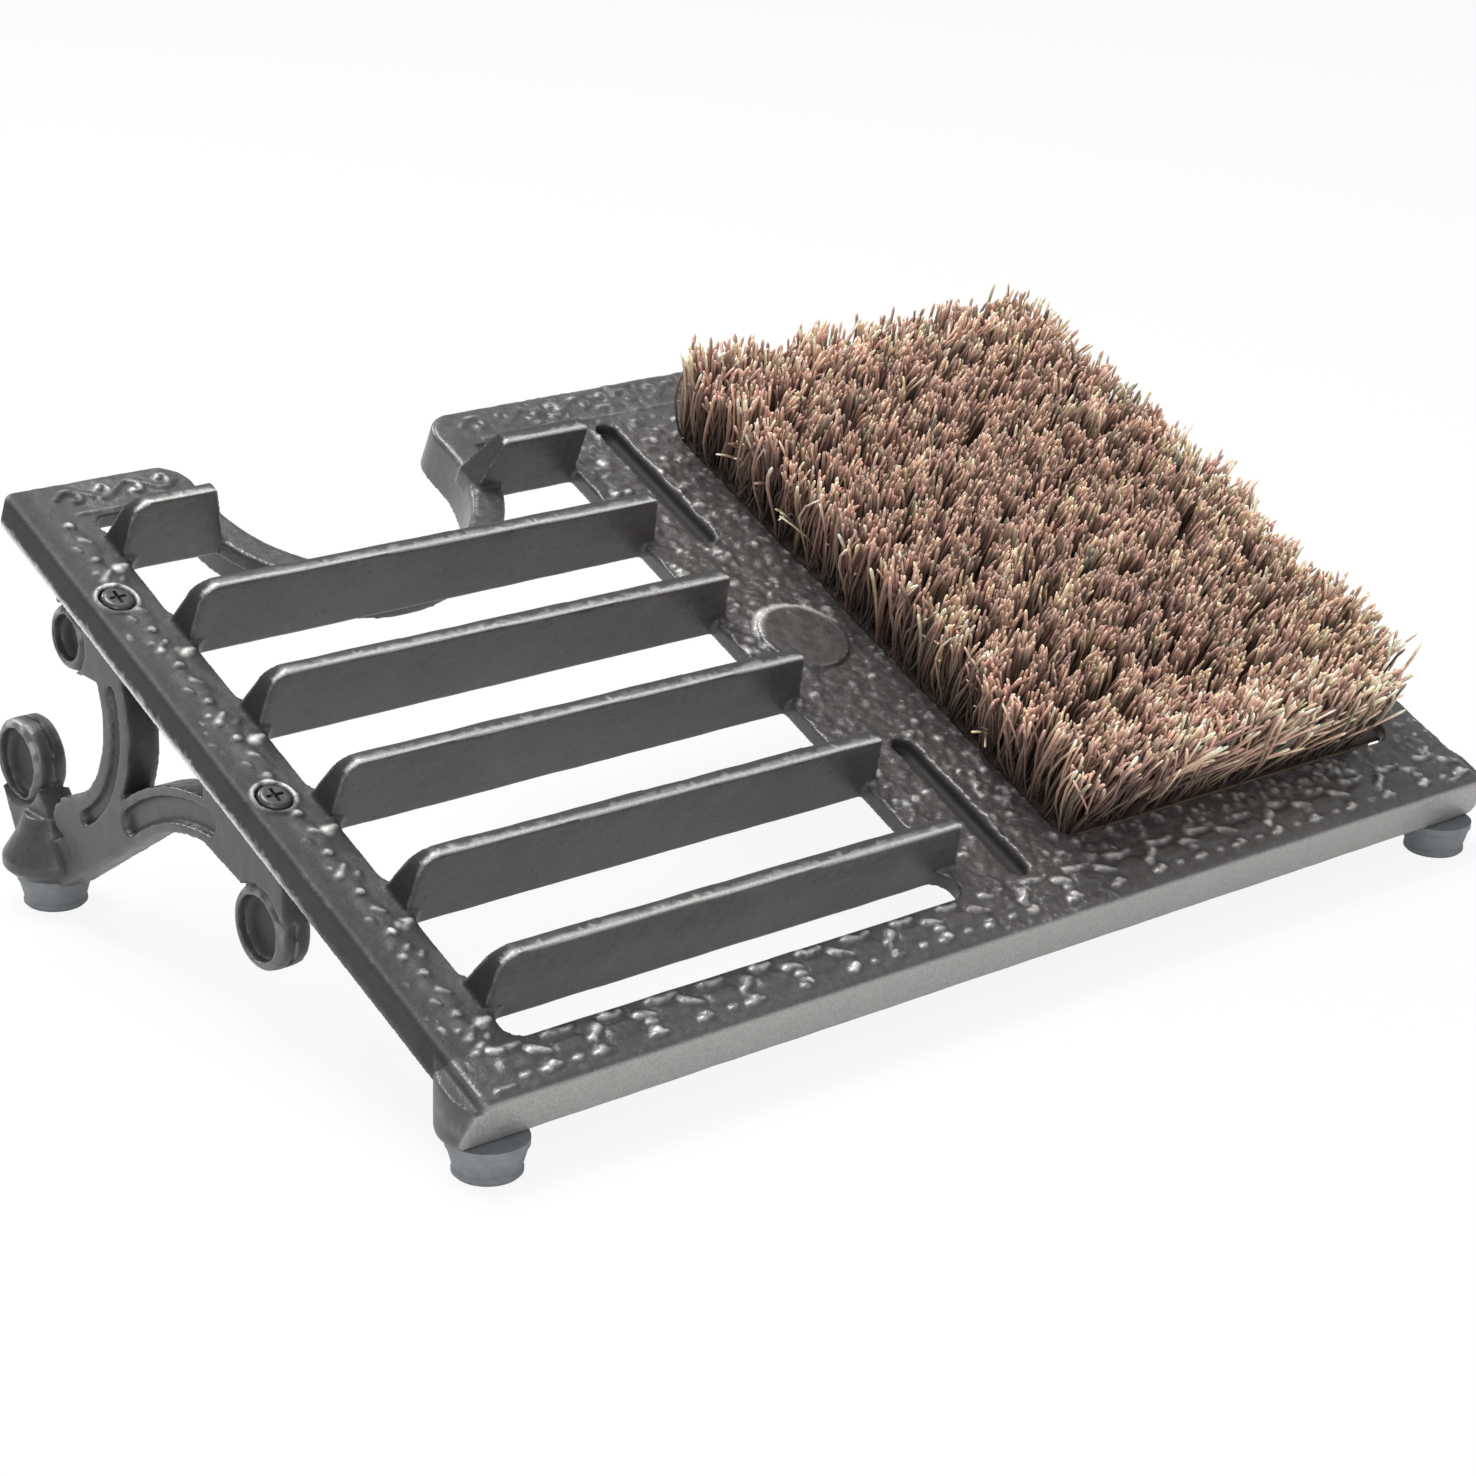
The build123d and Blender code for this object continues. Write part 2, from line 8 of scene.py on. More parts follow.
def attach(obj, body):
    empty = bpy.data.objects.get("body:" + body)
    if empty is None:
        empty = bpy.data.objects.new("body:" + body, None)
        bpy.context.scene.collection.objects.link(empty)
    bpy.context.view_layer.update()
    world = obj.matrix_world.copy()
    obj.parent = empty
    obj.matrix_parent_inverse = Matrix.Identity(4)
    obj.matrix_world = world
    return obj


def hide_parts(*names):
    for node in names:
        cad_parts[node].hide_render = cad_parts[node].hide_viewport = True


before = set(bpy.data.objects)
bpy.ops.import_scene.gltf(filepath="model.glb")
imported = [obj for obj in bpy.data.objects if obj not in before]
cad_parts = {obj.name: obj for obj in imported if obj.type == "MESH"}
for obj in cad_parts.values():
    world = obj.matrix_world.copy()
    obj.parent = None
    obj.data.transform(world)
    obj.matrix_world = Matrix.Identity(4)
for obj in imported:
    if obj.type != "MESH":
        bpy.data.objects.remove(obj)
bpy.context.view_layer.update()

MM = 0.001

# The tilted plate: u runs along its front edge, v up the slope, w out of its top face, all in mm
PLATE_WIDTH, PLATE_DEPTH, TILT = 323.5, 211.0, math.radians(23.5)
MID_WIDTH, MID_DEPTH = PLATE_WIDTH / 2, PLATE_DEPTH / 2
CORNER = np.array([-161.75, -103.45, 20.5])
AXES = np.array([[1, 0, 0], [0, math.cos(TILT), math.sin(TILT)], [0, -math.sin(TILT), math.cos(TILT)]])

# The plate's features that its relief, wear, painted highlights and painted shade follow, in mm as in the
# CAD
RAIL_START, RAIL_END = 150.0, 188.0
RAIL_MIDDLE = (RAIL_START + RAIL_END) / 2
SCREW_INSET, SCREW_ROWS = 7.25, (96.9, 168.0)
BLADE_COUNT, BLADE_START, BLADE_PITCH, BLADE_RIDGE = 6, 23.7, 31.4, 3.4
GROOVE_CENTRE, GROOVE_HALF_LENGTH, GROOVE_HALF_WIDTH = 64.85, 25.6, 3.6
MEDALLION_RADIUS = 12.0
SIDE_SKIRT_EDGE = -8.1


def to_plate(points):
    """Row-frame metres to plate u, v, w in mm."""
    return (np.asarray(points) / MM - CORNER) @ AXES.T


def from_plate(points):
    """Plate u, v, w in mm to row-frame metres."""
    return (np.asarray(points) @ AXES + CORNER) * MM


# Shares from 0 to 1 that follow a value
def rise(values, start, width):
    """0 up to start, 1 from start + width on."""
    return np.clip((values - start) / width, 0, 1)


def fall(values, end, width):
    """1 up to end - width, 0 from end on."""
    return np.clip((end - values) / width, 0, 1)


def band(values, centre, reach, level):
    """Full round the centre, gone where the values are level times reach away from it."""
    return np.clip(level - np.abs(values - centre) / reach, 0, 1)


# Mesh helpers
def smooth_shade(thing):
    thing.data.polygons.foreach_set("use_smooth", [True] * len(thing.data.polygons))
    thing.data.update()


def new_mesh(name, vertices, faces, smooth=True):
    mesh = bpy.data.meshes.new(name)
    mesh.from_pydata([tuple(v) for v in vertices], [], faces)
    mesh.update()
    thing = bpy.data.objects.new(name, mesh)
    if smooth:
        smooth_shade(thing)
    bpy.context.scene.collection.objects.link(thing)
    return thing


def applied(thing):
    """Bake an object's modifiers into its mesh."""
    graph = bpy.context.evaluated_depsgraph_get()
    mesh = bpy.data.meshes.new_from_object(thing.evaluated_get(graph))
    thing.modifiers.clear()
    old = thing.data
    thing.data = mesh
    bpy.data.meshes.remove(old)
    return thing


def cast_copy(node, name, voxel, rounds):
    """A copy of a CAD node with the softened edges of a sand casting."""
    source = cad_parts[node]
    thing = bpy.data.objects.new(name, source.data.copy())
    bpy.context.scene.collection.objects.link(thing)
    thing.matrix_world = source.matrix_world.copy()
    thing.data.materials.clear()
    remesh = thing.modifiers.new("skin", "REMESH")
    remesh.mode = "VOXEL"
    remesh.voxel_size = voxel
    remesh.use_smooth_shade = True
    soften = thing.modifiers.new("soften", "SMOOTH")
    soften.factor = 0.5
    soften.iterations = rounds
    return applied(thing)


def decimate(thing, triangles):
    """Bring a mesh down to about this many triangles."""
    thing.data.calc_loop_triangles()
    count = len(thing.data.loop_triangles)
    if count > triangles:
        fewer = thing.modifiers.new("fewer", "DECIMATE")
        fewer.ratio = triangles / count
        applied(thing)


def vertex_vectors(mesh, name):
    flat = np.empty(len(mesh.vertices) * 3)
    mesh.vertices.foreach_get(name, flat)
    return flat.reshape(-1, 3)


def coordinates(mesh):
    return vertex_vectors(mesh, "co")


def normals(mesh):
    return vertex_vectors(mesh, "normal")


def set_coordinates(mesh, points):
    mesh.vertices.foreach_set("co", np.asarray(points, dtype=np.float64).ravel())
    mesh.update()


def set_float(mesh, name, values):
    layer = mesh.attributes.new(name, "FLOAT", "POINT")
    layer.data.foreach_set("value", np.asarray(values, dtype=np.float32))


def unevenness(points, size, seed):
    """Smooth noise from -1 to 1 whose bumps are about this many mm across."""
    scale = 1.0 / (size * MM)
    shift = Vector((seed * 7.3, seed * 3.1, seed * 5.7))
    return np.array([noise.noise(Vector(p) * scale + shift) for p in points])


# Relief ornament on the rails, drawn as strokes into two maps over the plate: the relief's height
# in mm, and the painted highlights (glints) laid on it as a lighter paint colour
STEP = 0.25
STROKE_SPACING = 0.3
RELIEF = np.zeros((int(PLATE_DEPTH / STEP) + 2, int(PLATE_WIDTH / STEP) + 2))
GLINT = np.zeros_like(RELIEF)


def stamp(u, v, radius, height, flat=0.35, grid=RELIEF):
    """Raise one round spot of a map, level over the flat share of its radius."""
    reach = radius + STEP
    i0, i1 = max(int((v - reach) / STEP), 0), min(int((v + reach) / STEP) + 2, grid.shape[0])
    j0, j1 = max(int((u - reach) / STEP), 0), min(int((u + reach) / STEP) + 2, grid.shape[1])
    if i0 >= i1 or j0 >= j1:
        return
    rows, columns = np.mgrid[i0:i1, j0:j1]
    away = np.hypot(columns * STEP - u, rows * STEP - v) / radius
    edge = np.clip((1 - away) / (1 - flat), 0, 1)
    grid[i0:i1, j0:j1] = np.maximum(grid[i0:i1, j0:j1], height * edge * edge * (3 - 2 * edge))


def stroke(points, radius, height, taper=0.0, flat=0.35, grid=RELIEF):
    """Raise a rounded line along these (u, v) points, thinner at its end if it tapers."""
    points = np.asarray(points, dtype=float)
    steps = np.hypot(*np.diff(points, axis=0).T)
    along = np.concatenate([[0], np.cumsum(steps)])
    for s in np.arange(0, along[-1] + 0.01, STROKE_SPACING):
        share = 1 - taper * s / along[-1]
        at = np.interp(s, along, points[:, 0]), np.interp(s, along, points[:, 1])
        stamp(*at, radius * share, height * (0.4 + 0.6 * share), flat, grid)


def bead(points, radius, height, highlight_strength, width):
    """A soft ridge whose crest gets a painted highlight, over about this half width in mm."""
    stroke(points, 1.15 * radius, height, 0.3, 0.05)
    if highlight_strength:
        stroke(np.asarray(points) + (0, 0.3), 1.9 * width, highlight_strength, 0.5, 0.0, GLINT)


def curl(u, v, flip, start=200, turns=0.72, inner=0.6, outer=2.5, count=26):
    """Points of a scroll that winds out from its eye at (u, v), mirrored where flip is -1."""
    t = np.linspace(0, 1, count)
    angle = math.radians(start) + turns * 2 * math.pi * t
    radius = inner + (outer - inner) * t
    return np.c_[radius * np.cos(angle), radius * np.sin(angle)] * (1, flip) + (u, v)


def draw_front_rail(rng):
    """Smooth pads between broad far dashes, slanted beads and near triangles."""
    start, pitch, end_margin = 14.0, 14.2, 9
    for k, centre in enumerate(np.arange(start, PLATE_WIDTH - end_margin, pitch)):
        # bright: strength of this cell's painted highlights
        bright = rng.uniform(0.6, 1.0)
        tip = rng.uniform(-0.4, 0.4)
        stroke([(centre - 2.2, 8.2 + tip), (centre + 2.2, 8.4)], 3.1, 0.55, 0, 0.45)
        half = rng.uniform(2.2, 4.2)
        arch = [
            (centre + s * half, 12.8 - rng.uniform(0.3, 0.8) * (1 - s * s))
            for s in np.linspace(-1, 1, 6)
        ]
        bead(arch, 1.7, 0.8, bright, 0.95)
        gap = centre + pitch / 2 + rng.uniform(-0.6, 0.6)
        if k % 3 == 1:
            bead([(gap + 2.0, 10.6), (gap + 0.6, 9.2), (gap - 1.0, 8.2)], 1.9, 0.9, bright, 1.0)
            stamp(gap - 1.2, 7.9, 1.8, bright, 0.1, GLINT)
        elif k % 3 == 2:
            bead([(gap - 2.4, 10.2), (gap, 9.9), (gap + 1.6, 9.0)], 1.9, 0.9, bright, 1.0)
            bead([(gap - 0.4, 7.6), (gap + 1.2, 7.2)], 1.6, 0.7, 0.8 * bright, 0.8)
        else:
            bead([(gap - 2.4, 10.0 + tip), (gap - 0.4, 9.4), (gap + 1.6, 8.2)], 2.0, 0.9, bright, 1.1)
        wide = rng.uniform(0.9, 2.0)
        bead([(gap - wide, 4.1), (gap + wide, 4.2 + tip)], 1.7, 0.8, bright, 0.85)
        stamp(gap + tip, 5.2, 2.0, 0.85, 0.1)
        stamp(gap + tip, 5.0, 1.5, bright, 0.1, GLINT)
        if rng.random() < 0.6:
            bead([(centre - 0.5 + tip, 4.4), (centre + 1.0, 4.8)], 1.4, 0.6, 0.7 * bright, 0.75)


def draw_side_rail(rng, outer, sign):
    """A round bead every half repeat, a slanted cluster in every second space, and painted highlight spots.
    """
    start, pitch, end_margin = 24.8, 13.1, 12
    for k, centre in enumerate(np.arange(start, PLATE_DEPTH - end_margin, pitch)):
        def at(across, along):
            return outer + sign * across, centre + along
        # bright: strength of this repeat's painted highlights
        bright = rng.uniform(0.35, 0.85)
        stroke([at(10.2, -9.5), at(8.8, -3.5)], 3.2, 0.35, 0, 0.2)
        stamp(*at(9.3, 0.0), 2.1, 0.75, 0.2)
        stamp(*at(9.3 + 0.2 * sign, 0.2), 1.3, bright, 0.5, GLINT)
        if k % 2 == 0:
            bead([at(7.8, -7.4), at(9.2, -6.0), at(10.6, -4.7)], 1.7, 0.7, bright, 0.8)
            bead([at(11.8, -8.3), at(12.8, -7.4)], 1.4, 0.5, 0.5 * bright, 0.6)
            stamp(*at(6.9, -4.4), 1.3, 0.5, 0.2)
            stamp(*at(6.9, -4.4), 0.9, 0.5, 0.4, GLINT)
        else:
            bead([at(9.6, -5.6), at(11.4, -7.2)], 1.4, 0.65, 0.8 * bright, 0.7)
            bead([at(6.8, -8.0), at(7.6, -9.6)], 1.3, 0.5, 0.35, 0.5)
    # Painted highlight spots near the outer edge
    for _ in range(16):
        u, v = outer + sign * rng.uniform(2.2, 4.2), rng.choice((18, 30, 120, 150)) + rng.uniform(-8, 8)
        stamp(u, v, rng.uniform(0.5, 0.8), rng.uniform(0.3, 0.8), 0.3, GLINT)


def draw_rear_rail(rng, left, right, relief):
    """Running scroll with a curl in each bend, over a plain line."""
    row, wave_length, line_row = 204.9, 16.4, 198.6
    u = np.arange(left, right, 0.5)
    wave = np.c_[u, row + 2.2 * np.sin(2 * math.pi * (u - left) / wave_length)]
    stroke(wave, 1.35, 0.65 * relief, 0, 0.15)
    for k, centre in enumerate(np.arange(left + wave_length / 4, right - 2, wave_length / 2)):
        up = 1 if k % 2 == 0 else -1
        winding = curl(centre + 0.6, row - 1.0 * up, up)
        # Each curl, some with a painted highlight, and a painted highlight along each bend's crest
        bead(winding, 1.15, 0.75 * relief, rng.choice((0, 0.55)) * relief, 0.55)
        crest = [(centre - 1.6, row + 2.4 * up), (centre + 1.4, row + 2.5 * up)]
        stroke(crest, 0.7, rng.uniform(0.2, 0.8) * relief, 0.2, 0.4, GLINT)
    bead([(left + 3, line_row), (right - 1, line_row + 0.1)], 1.0, 0.4 * relief, 0.25 * relief, 0.4)


# Plain parts of the rails, each with how many sand grains lie on it: u from and to, v from and to
PLAIN_AREAS = (
    (151, 188, 16, 196, 60), (176, 189, 16, 196, 70), (151, 160, 16, 196, 20),
    (188, 316, 14, 22, 60), (310, 320, 20, 190, 40), (188, 316, 188, 197, 30),
)


def draw_sand(rng):
    """Sand grains in short trails, each with a splash of painted highlight."""
    for u0, u1, v0, v1, count in PLAIN_AREAS:
        for _ in range(count):
            u, v = rng.uniform(u0, u1), rng.uniform(v0, v1)
            if math.hypot(u - RAIL_MIDDLE, v - MID_DEPTH) < MEDALLION_RADIUS + 1:
                continue
            for _ in range(rng.choice((1, 1, 2, 4))):
                radius = rng.uniform(0.8, 1.7)
                stamp(u, v, radius * 1.4, rng.uniform(0.25, 0.55), 0.1)
                stamp(u, v + 0.3, radius, rng.uniform(0.2, 0.8), 0.0, GLINT)
                u, v = u + rng.uniform(-2, 2), v + rng.uniform(-2, 2)


def draw_screw_ring(u, v):
    """Clear the maps round a screw, inside a ring with a painted highlight that is brightest on its far
    side.
    """
    clear_radius, ring_radius, ring_half = 4.6, 4.9, 0.75
    rows, columns = np.mgrid[0:RELIEF.shape[0], 0:RELIEF.shape[1]]
    away = np.hypot(columns * STEP - u, rows * STEP - v)
    clear = rise(away, clear_radius, 0.8)
    ring = np.clip(1 - (np.abs(away - ring_radius) / ring_half) ** 2, 0, 1)
    # The ring's painted highlight strengthens towards the far side
    turned = 0.55 + 0.45 * (rows * STEP - v + 0.4 * (columns * STEP - u)) / np.maximum(away, 1)
    RELIEF[:] = np.maximum(RELIEF * clear, 0.5 * ring)
    GLINT[:] = np.maximum(GLINT * clear, ring * np.clip(turned, 0.15, 1))


def draw_relief():
    rng = random.Random(5)
    draw_front_rail(rng)
    for outer, sign in ((0.0, 1), (PLATE_WIDTH, -1)):
        draw_side_rail(rng, outer, sign)
    for left, right, relief in ((11.0, 44.0, 1.0), (130.0, PLATE_WIDTH - 12.0, 0.6)):
        draw_rear_rail(rng, left, right, relief)
    draw_sand(rng)
    # Knots at the front corners, with painted highlights
    for corner in (8.5, PLATE_WIDTH - 8.5):
        bead([(corner - 3.0, 2.6), (corner + 1.5, 2.8)], 1.2, 0.5, 0.5, 0.6)
        bead([(corner - 1.5, 13.5), (corner + 1.5, 15.4)], 1.4, 0.6, 0.7, 0.7)
    for u in (SCREW_INSET, PLATE_WIDTH - SCREW_INSET):
        for v in SCREW_ROWS:
            draw_screw_ring(u, v)
    # Smooth swellings where each gap's rounded end meets the left rail, each with a painted highlight
    for row in range(BLADE_COUNT):
        near = 20.6 + BLADE_PITCH * row
        bead([(13.0, near), (15.4, near + 0.6)], 2.1, 0.6, 0.95, 1.2)


draw_relief()
SLOPE = np.gradient(RELIEF, STEP, axis=0)


def map_at(grid, u, v):
    """A map's value at plate positions, read between its points."""
    x = np.clip(u / STEP, 0, RELIEF.shape[1] - 2)
    y = np.clip(v / STEP, 0, RELIEF.shape[0] - 2)
    i, j = y.astype(int), x.astype(int)
    a, b = y - i, x - j
    return (
        grid[i, j] * (1 - a) * (1 - b)
        + grid[i, j + 1] * (1 - a) * b
        + grid[i + 1, j] * a * (1 - b)
        + grid[i + 1, j + 1] * a * b
    )


# Materials
def grey(value):
    return (value,) * 3


def material(name):
    made = bpy.data.materials.new(name)
    made.use_nodes = True
    tree = made.node_tree
    tree.nodes.clear()
    out = tree.nodes.new("ShaderNodeOutputMaterial")
    shader = tree.nodes.new("ShaderNodeBsdfPrincipled")
    tree.links.new(shader.outputs[0], out.inputs[0])
    where = tree.nodes.new("ShaderNodeTexCoord")
    return made, tree, shader, where


def noise_node(tree, where, size, detail=3.0, rough=0.55, stretch=None):
    """Noise whose features are about this many mm across."""
    made = tree.nodes.new("ShaderNodeTexNoise")
    made.inputs["Scale"].default_value = 1.0 / (size * MM)
    made.inputs["Detail"].default_value = detail
    made.inputs["Roughness"].default_value = rough
    source = where.outputs["Object"]
    if stretch:
        mapping = tree.nodes.new("ShaderNodeMapping")
        mapping.inputs["Scale"].default_value = stretch
        tree.links.new(source, mapping.inputs["Vector"])
        source = mapping.outputs["Vector"]
    tree.links.new(source, made.inputs["Vector"])
    return made


def ramp_node(tree, source, *stops):
    """Colours by a socket's value: each stop is its position and colour."""
    made = tree.nodes.new("ShaderNodeValToRGB")
    ramp = made.color_ramp
    while len(ramp.elements) < len(stops):
        ramp.elements.new(0.5)
    for element, (position, colour) in zip(ramp.elements, stops):
        element.position = position
        element.color = (*colour, 1.0)
    tree.links.new(source, made.inputs["Fac"])
    return made.outputs[0]


def mix_node(tree, factor, a, b, blend="MIX"):
    """Mix two colours, each a socket or a value, and return the result's socket."""
    made = tree.nodes.new("ShaderNodeMix")
    made.data_type = "RGBA"
    made.blend_type = blend
    factor_input, a_input, b_input, colour_output = 0, 6, 7, 2
    for value, key in ((factor, factor_input), (a, a_input), (b, b_input)):
        if isinstance(value, bpy.types.NodeSocket):
            tree.links.new(value, made.inputs[key])
        else:
            made.inputs[key].default_value = value
    return made.outputs[colour_output]


def math_node(tree, operation, a, b):
    """One sum on two values, each a socket or a number."""
    made = tree.nodes.new("ShaderNodeMath")
    made.operation = operation
    for value, key in ((a, 0), (b, 1)):
        if isinstance(value, bpy.types.NodeSocket):
            tree.links.new(value, made.inputs[key])
        else:
            made.inputs[key].default_value = value
    return made.outputs[0]


def attribute_node(tree, name):
    """A number that the mesh holds for each vertex."""
    made = tree.nodes.new("ShaderNodeAttribute")
    made.attribute_name = name
    return made.outputs["Fac"]


def bump_chain(tree, shader, *layers):
    """Stack bumps, each a height socket, strength and distance in mm."""
    last = None
    for height, strength, distance in layers:
        made = tree.nodes.new("ShaderNodeBump")
        made.inputs["Strength"].default_value = strength
        made.inputs["Distance"].default_value = distance * MM
        tree.links.new(height, made.inputs["Height"])
        if last:
            tree.links.new(last.outputs[0], made.inputs["Normal"])
        last = made
    tree.links.new(last.outputs[0], shader.inputs["Normal"])


PAINT_DARK, PAINT_LIGHT = (0.066, 0.063, 0.062), (0.098, 0.094, 0.091)
# Pale sand specks, partly painted sparkle; bare iron for rubbed edges, which is also the colour of painted
# highlights
SAND_SPARKLE, WEAR_AND_HIGHLIGHT_IRON = (0.42, 0.415, 0.4), (0.72, 0.71, 0.69)
# How dark and how rough the paint is made where shade is painted in
PAINTED_SHADE_TINT = (0.22, 0.21, 0.2)
PAINTED_SHADE_ROUGHNESS = 0.75


def iron_material(name, wear_and_highlight, tone=1.0, grit=1.0):
    """Satin dark grey paint over as-cast iron, with pale sand specks that are partly painted sparkle,
    rubbed paint and painted highlights on its edges, and painted shade in its corners.
    """
    def toned(colour):
        return tuple(c * tone for c in colour)

    made, tree, shader, where = material(name)
    broad = noise_node(tree, where, 22, 2).outputs[0]
    mottle = noise_node(tree, where, 2.4, 4, 0.65).outputs[0]
    fine = noise_node(tree, where, 0.65, 3, 0.6).outputs[0]
    base = ramp_node(tree, mottle, (0.3, toned(PAINT_DARK)), (0.7, toned(PAINT_LIGHT)))
    cloud = ramp_node(tree, broad, (0.3, (0.86, 0.85, 0.86)), (0.7, (1.1, 1.08, 1.07)))
    colour = mix_node(tree, 1.0, base, cloud, "MULTIPLY")
    roughness = ramp_node(tree, mottle, (0.3, grey(0.26)), (0.75, grey(0.42)))
    if wear_and_highlight:
        # Pale specks where the surface is coarse: sand grains, with their glints painted in as sparkle
        specks = noise_node(tree, where, 1.7, 4, 0.65).outputs[0]
        spots = ramp_node(tree, specks, (0.58, grey(0.0)), (0.74, grey(0.55)))
        sand_sparkle = math_node(tree, "MULTIPLY", attribute_node(tree, "coarse"), spots)
        colour = mix_node(tree, sand_sparkle, colour, (*toned(SAND_SPARKLE), 1))
        # Painted shade darkens and roughens the paint in corners, grooves and hollows
        painted_shade = attribute_node(tree, "painted_shade")
        shade_tint = ramp_node(tree, painted_shade, (0.0, grey(1.0)), (1.0, PAINTED_SHADE_TINT))
        colour = mix_node(tree, 1.0, colour, shade_tint, "MULTIPLY")
        roughness = mix_node(tree, painted_shade, roughness, (*grey(PAINTED_SHADE_ROUGHNESS), 1))
        # Rubbed paint and painted highlights, broken up by fine noise
        patch = ramp_node(tree, fine, (0.3, grey(0.6)), (0.6, grey(1.0)))
        wear_and_highlight_patches = math_node(tree, "MULTIPLY", attribute_node(tree, "wear_and_highlight"), patch)
        colour = mix_node(tree, wear_and_highlight_patches, colour, (*toned(WEAR_AND_HIGHLIGHT_IRON), 1))
    tree.links.new(colour, shader.inputs["Base Color"])
    shader.inputs["Metallic"].default_value = 0.3
    shader.inputs["Specular IOR Level"].default_value = 0.75
    tree.links.new(roughness, shader.inputs["Roughness"])
    bump_chain(tree, shader, (mottle, 0.4, 0.3 * grit), (fine, 0.55, 0.16 * grit))
    return made


def rubber_material():
    made, tree, shader, where = material("rubber")
    mottle = noise_node(tree, where, 2.5, 3).outputs[0]
    fine = noise_node(tree, where, 0.35, 2).outputs[0]
    base = ramp_node(tree, mottle, (0.3, (0.16, 0.174, 0.183)), (0.7, (0.2, 0.215, 0.225)))
    tree.links.new(base, shader.inputs["Base Color"])
    rough = ramp_node(tree, fine, (0.3, grey(0.55)), (0.7, grey(0.7)))
    tree.links.new(rough, shader.inputs["Roughness"])
    bump_chain(tree, shader, (fine, 0.25, 0.06))
    return made


def zinc_material():
    made, tree, shader, where = material("zinc")
    brushed = noise_node(tree, where, 0.5, 3, 0.5, (1, 1, 9)).outputs[0]
    base = ramp_node(tree, brushed, (0.3, (0.46, 0.46, 0.45)), (0.7, (0.6, 0.6, 0.58)))
    tree.links.new(base, shader.inputs["Base Color"])
    shader.inputs["Metallic"].default_value = 1.0
    rough = ramp_node(tree, brushed, (0.3, grey(0.3)), (0.7, grey(0.42)))
    tree.links.new(rough, shader.inputs["Roughness"])
    bump_chain(tree, shader, (brushed, 0.15, 0.03))
    return made


def wood_material():
    made, tree, shader, where = material("backing_wood")
    grain = noise_node(tree, where, 2.2, 5, 0.6, (0.07, 1, 1)).outputs[0]
    pores = noise_node(tree, where, 0.5, 3, 0.5, (0.1, 1, 1)).outputs[0]
    dark, middling, pale = (0.2, 0.115, 0.06), (0.32, 0.2, 0.11), (0.42, 0.28, 0.16)
    base = ramp_node(tree, grain, (0.3, dark), (0.55, middling), (0.8, pale))
    tree.links.new(base, shader.inputs["Base Color"])
    rough = ramp_node(tree, pores, (0.3, grey(0.6)), (0.7, grey(0.78)))
    tree.links.new(rough, shader.inputs["Roughness"])
    bump_chain(tree, shader, (grain, 0.3, 0.2), (pores, 0.35, 0.1))
    return made


def fibre_material():
    """Coarse plant fibre, coloured strand by strand."""
    made, tree, shader, where = material("fibre")
    strand = tree.nodes.new("ShaderNodeVertexColor")
    strand.layer_name = "strand"
    streak = noise_node(tree, where, 1.4, 3, 0.6).outputs[0]
    shade = ramp_node(tree, streak, (0.3, (0.82, 0.8, 0.78)), (0.7, grey(1.12)))
    colour = mix_node(tree, 1.0, strand.outputs[0], shade, "MULTIPLY")
    tree.links.new(colour, shader.inputs["Base Color"])
    rough = ramp_node(tree, streak, (0.3, grey(0.48)), (0.7, grey(0.66)))
    tree.links.new(rough, shader.inputs["Roughness"])
    bump_chain(tree, shader, (streak, 0.3, 0.08))
    return made


IRON = iron_material("cast_iron", wear_and_highlight=True)
# The legs' copy of the plate's iron, darker all over as painted shade
SHADED_LEG_IRON = iron_material("cast_iron_leg_shaded", wear_and_highlight=True, tone=0.66, grit=0.7)
SCREW = iron_material("painted_screw", wear_and_highlight=False, tone=0.85, grit=0.35)
RUBBER = rubber_material()
ZINC = zinc_material()
WOOD = wood_material()
FIBRE = fibre_material()


# The castings' wear, painted highlights and painted shade follow how far a vertex stands out of its
# neighbours
def convexity(mesh, rounds=3):
    """How far each vertex stands out of its neighbours, in mm: above 0 on edges, below 0 in corners."""
    count = len(mesh.vertices)
    pairs = np.empty(len(mesh.edges) * 2, dtype=np.int32)
    mesh.edges.foreach_get("vertices", pairs)
    a, b = pairs.reshape(-1, 2).T
    degree = np.maximum(np.bincount(a, minlength=count) + np.bincount(b, minlength=count), 1)

    def average(values):
        total = np.bincount(a, weights=values[b], minlength=count)
        return (total + np.bincount(b, weights=values[a], minlength=count)) / degree

    points, facing = coordinates(mesh), normals(mesh)
    mean = np.column_stack([average(points[:, k]) for k in range(3)])
    bend = ((points - mean) * facing).sum(axis=1) / MM
    for _ in range(rounds):
        bend = (bend + average(bend)) / 2
    return bend


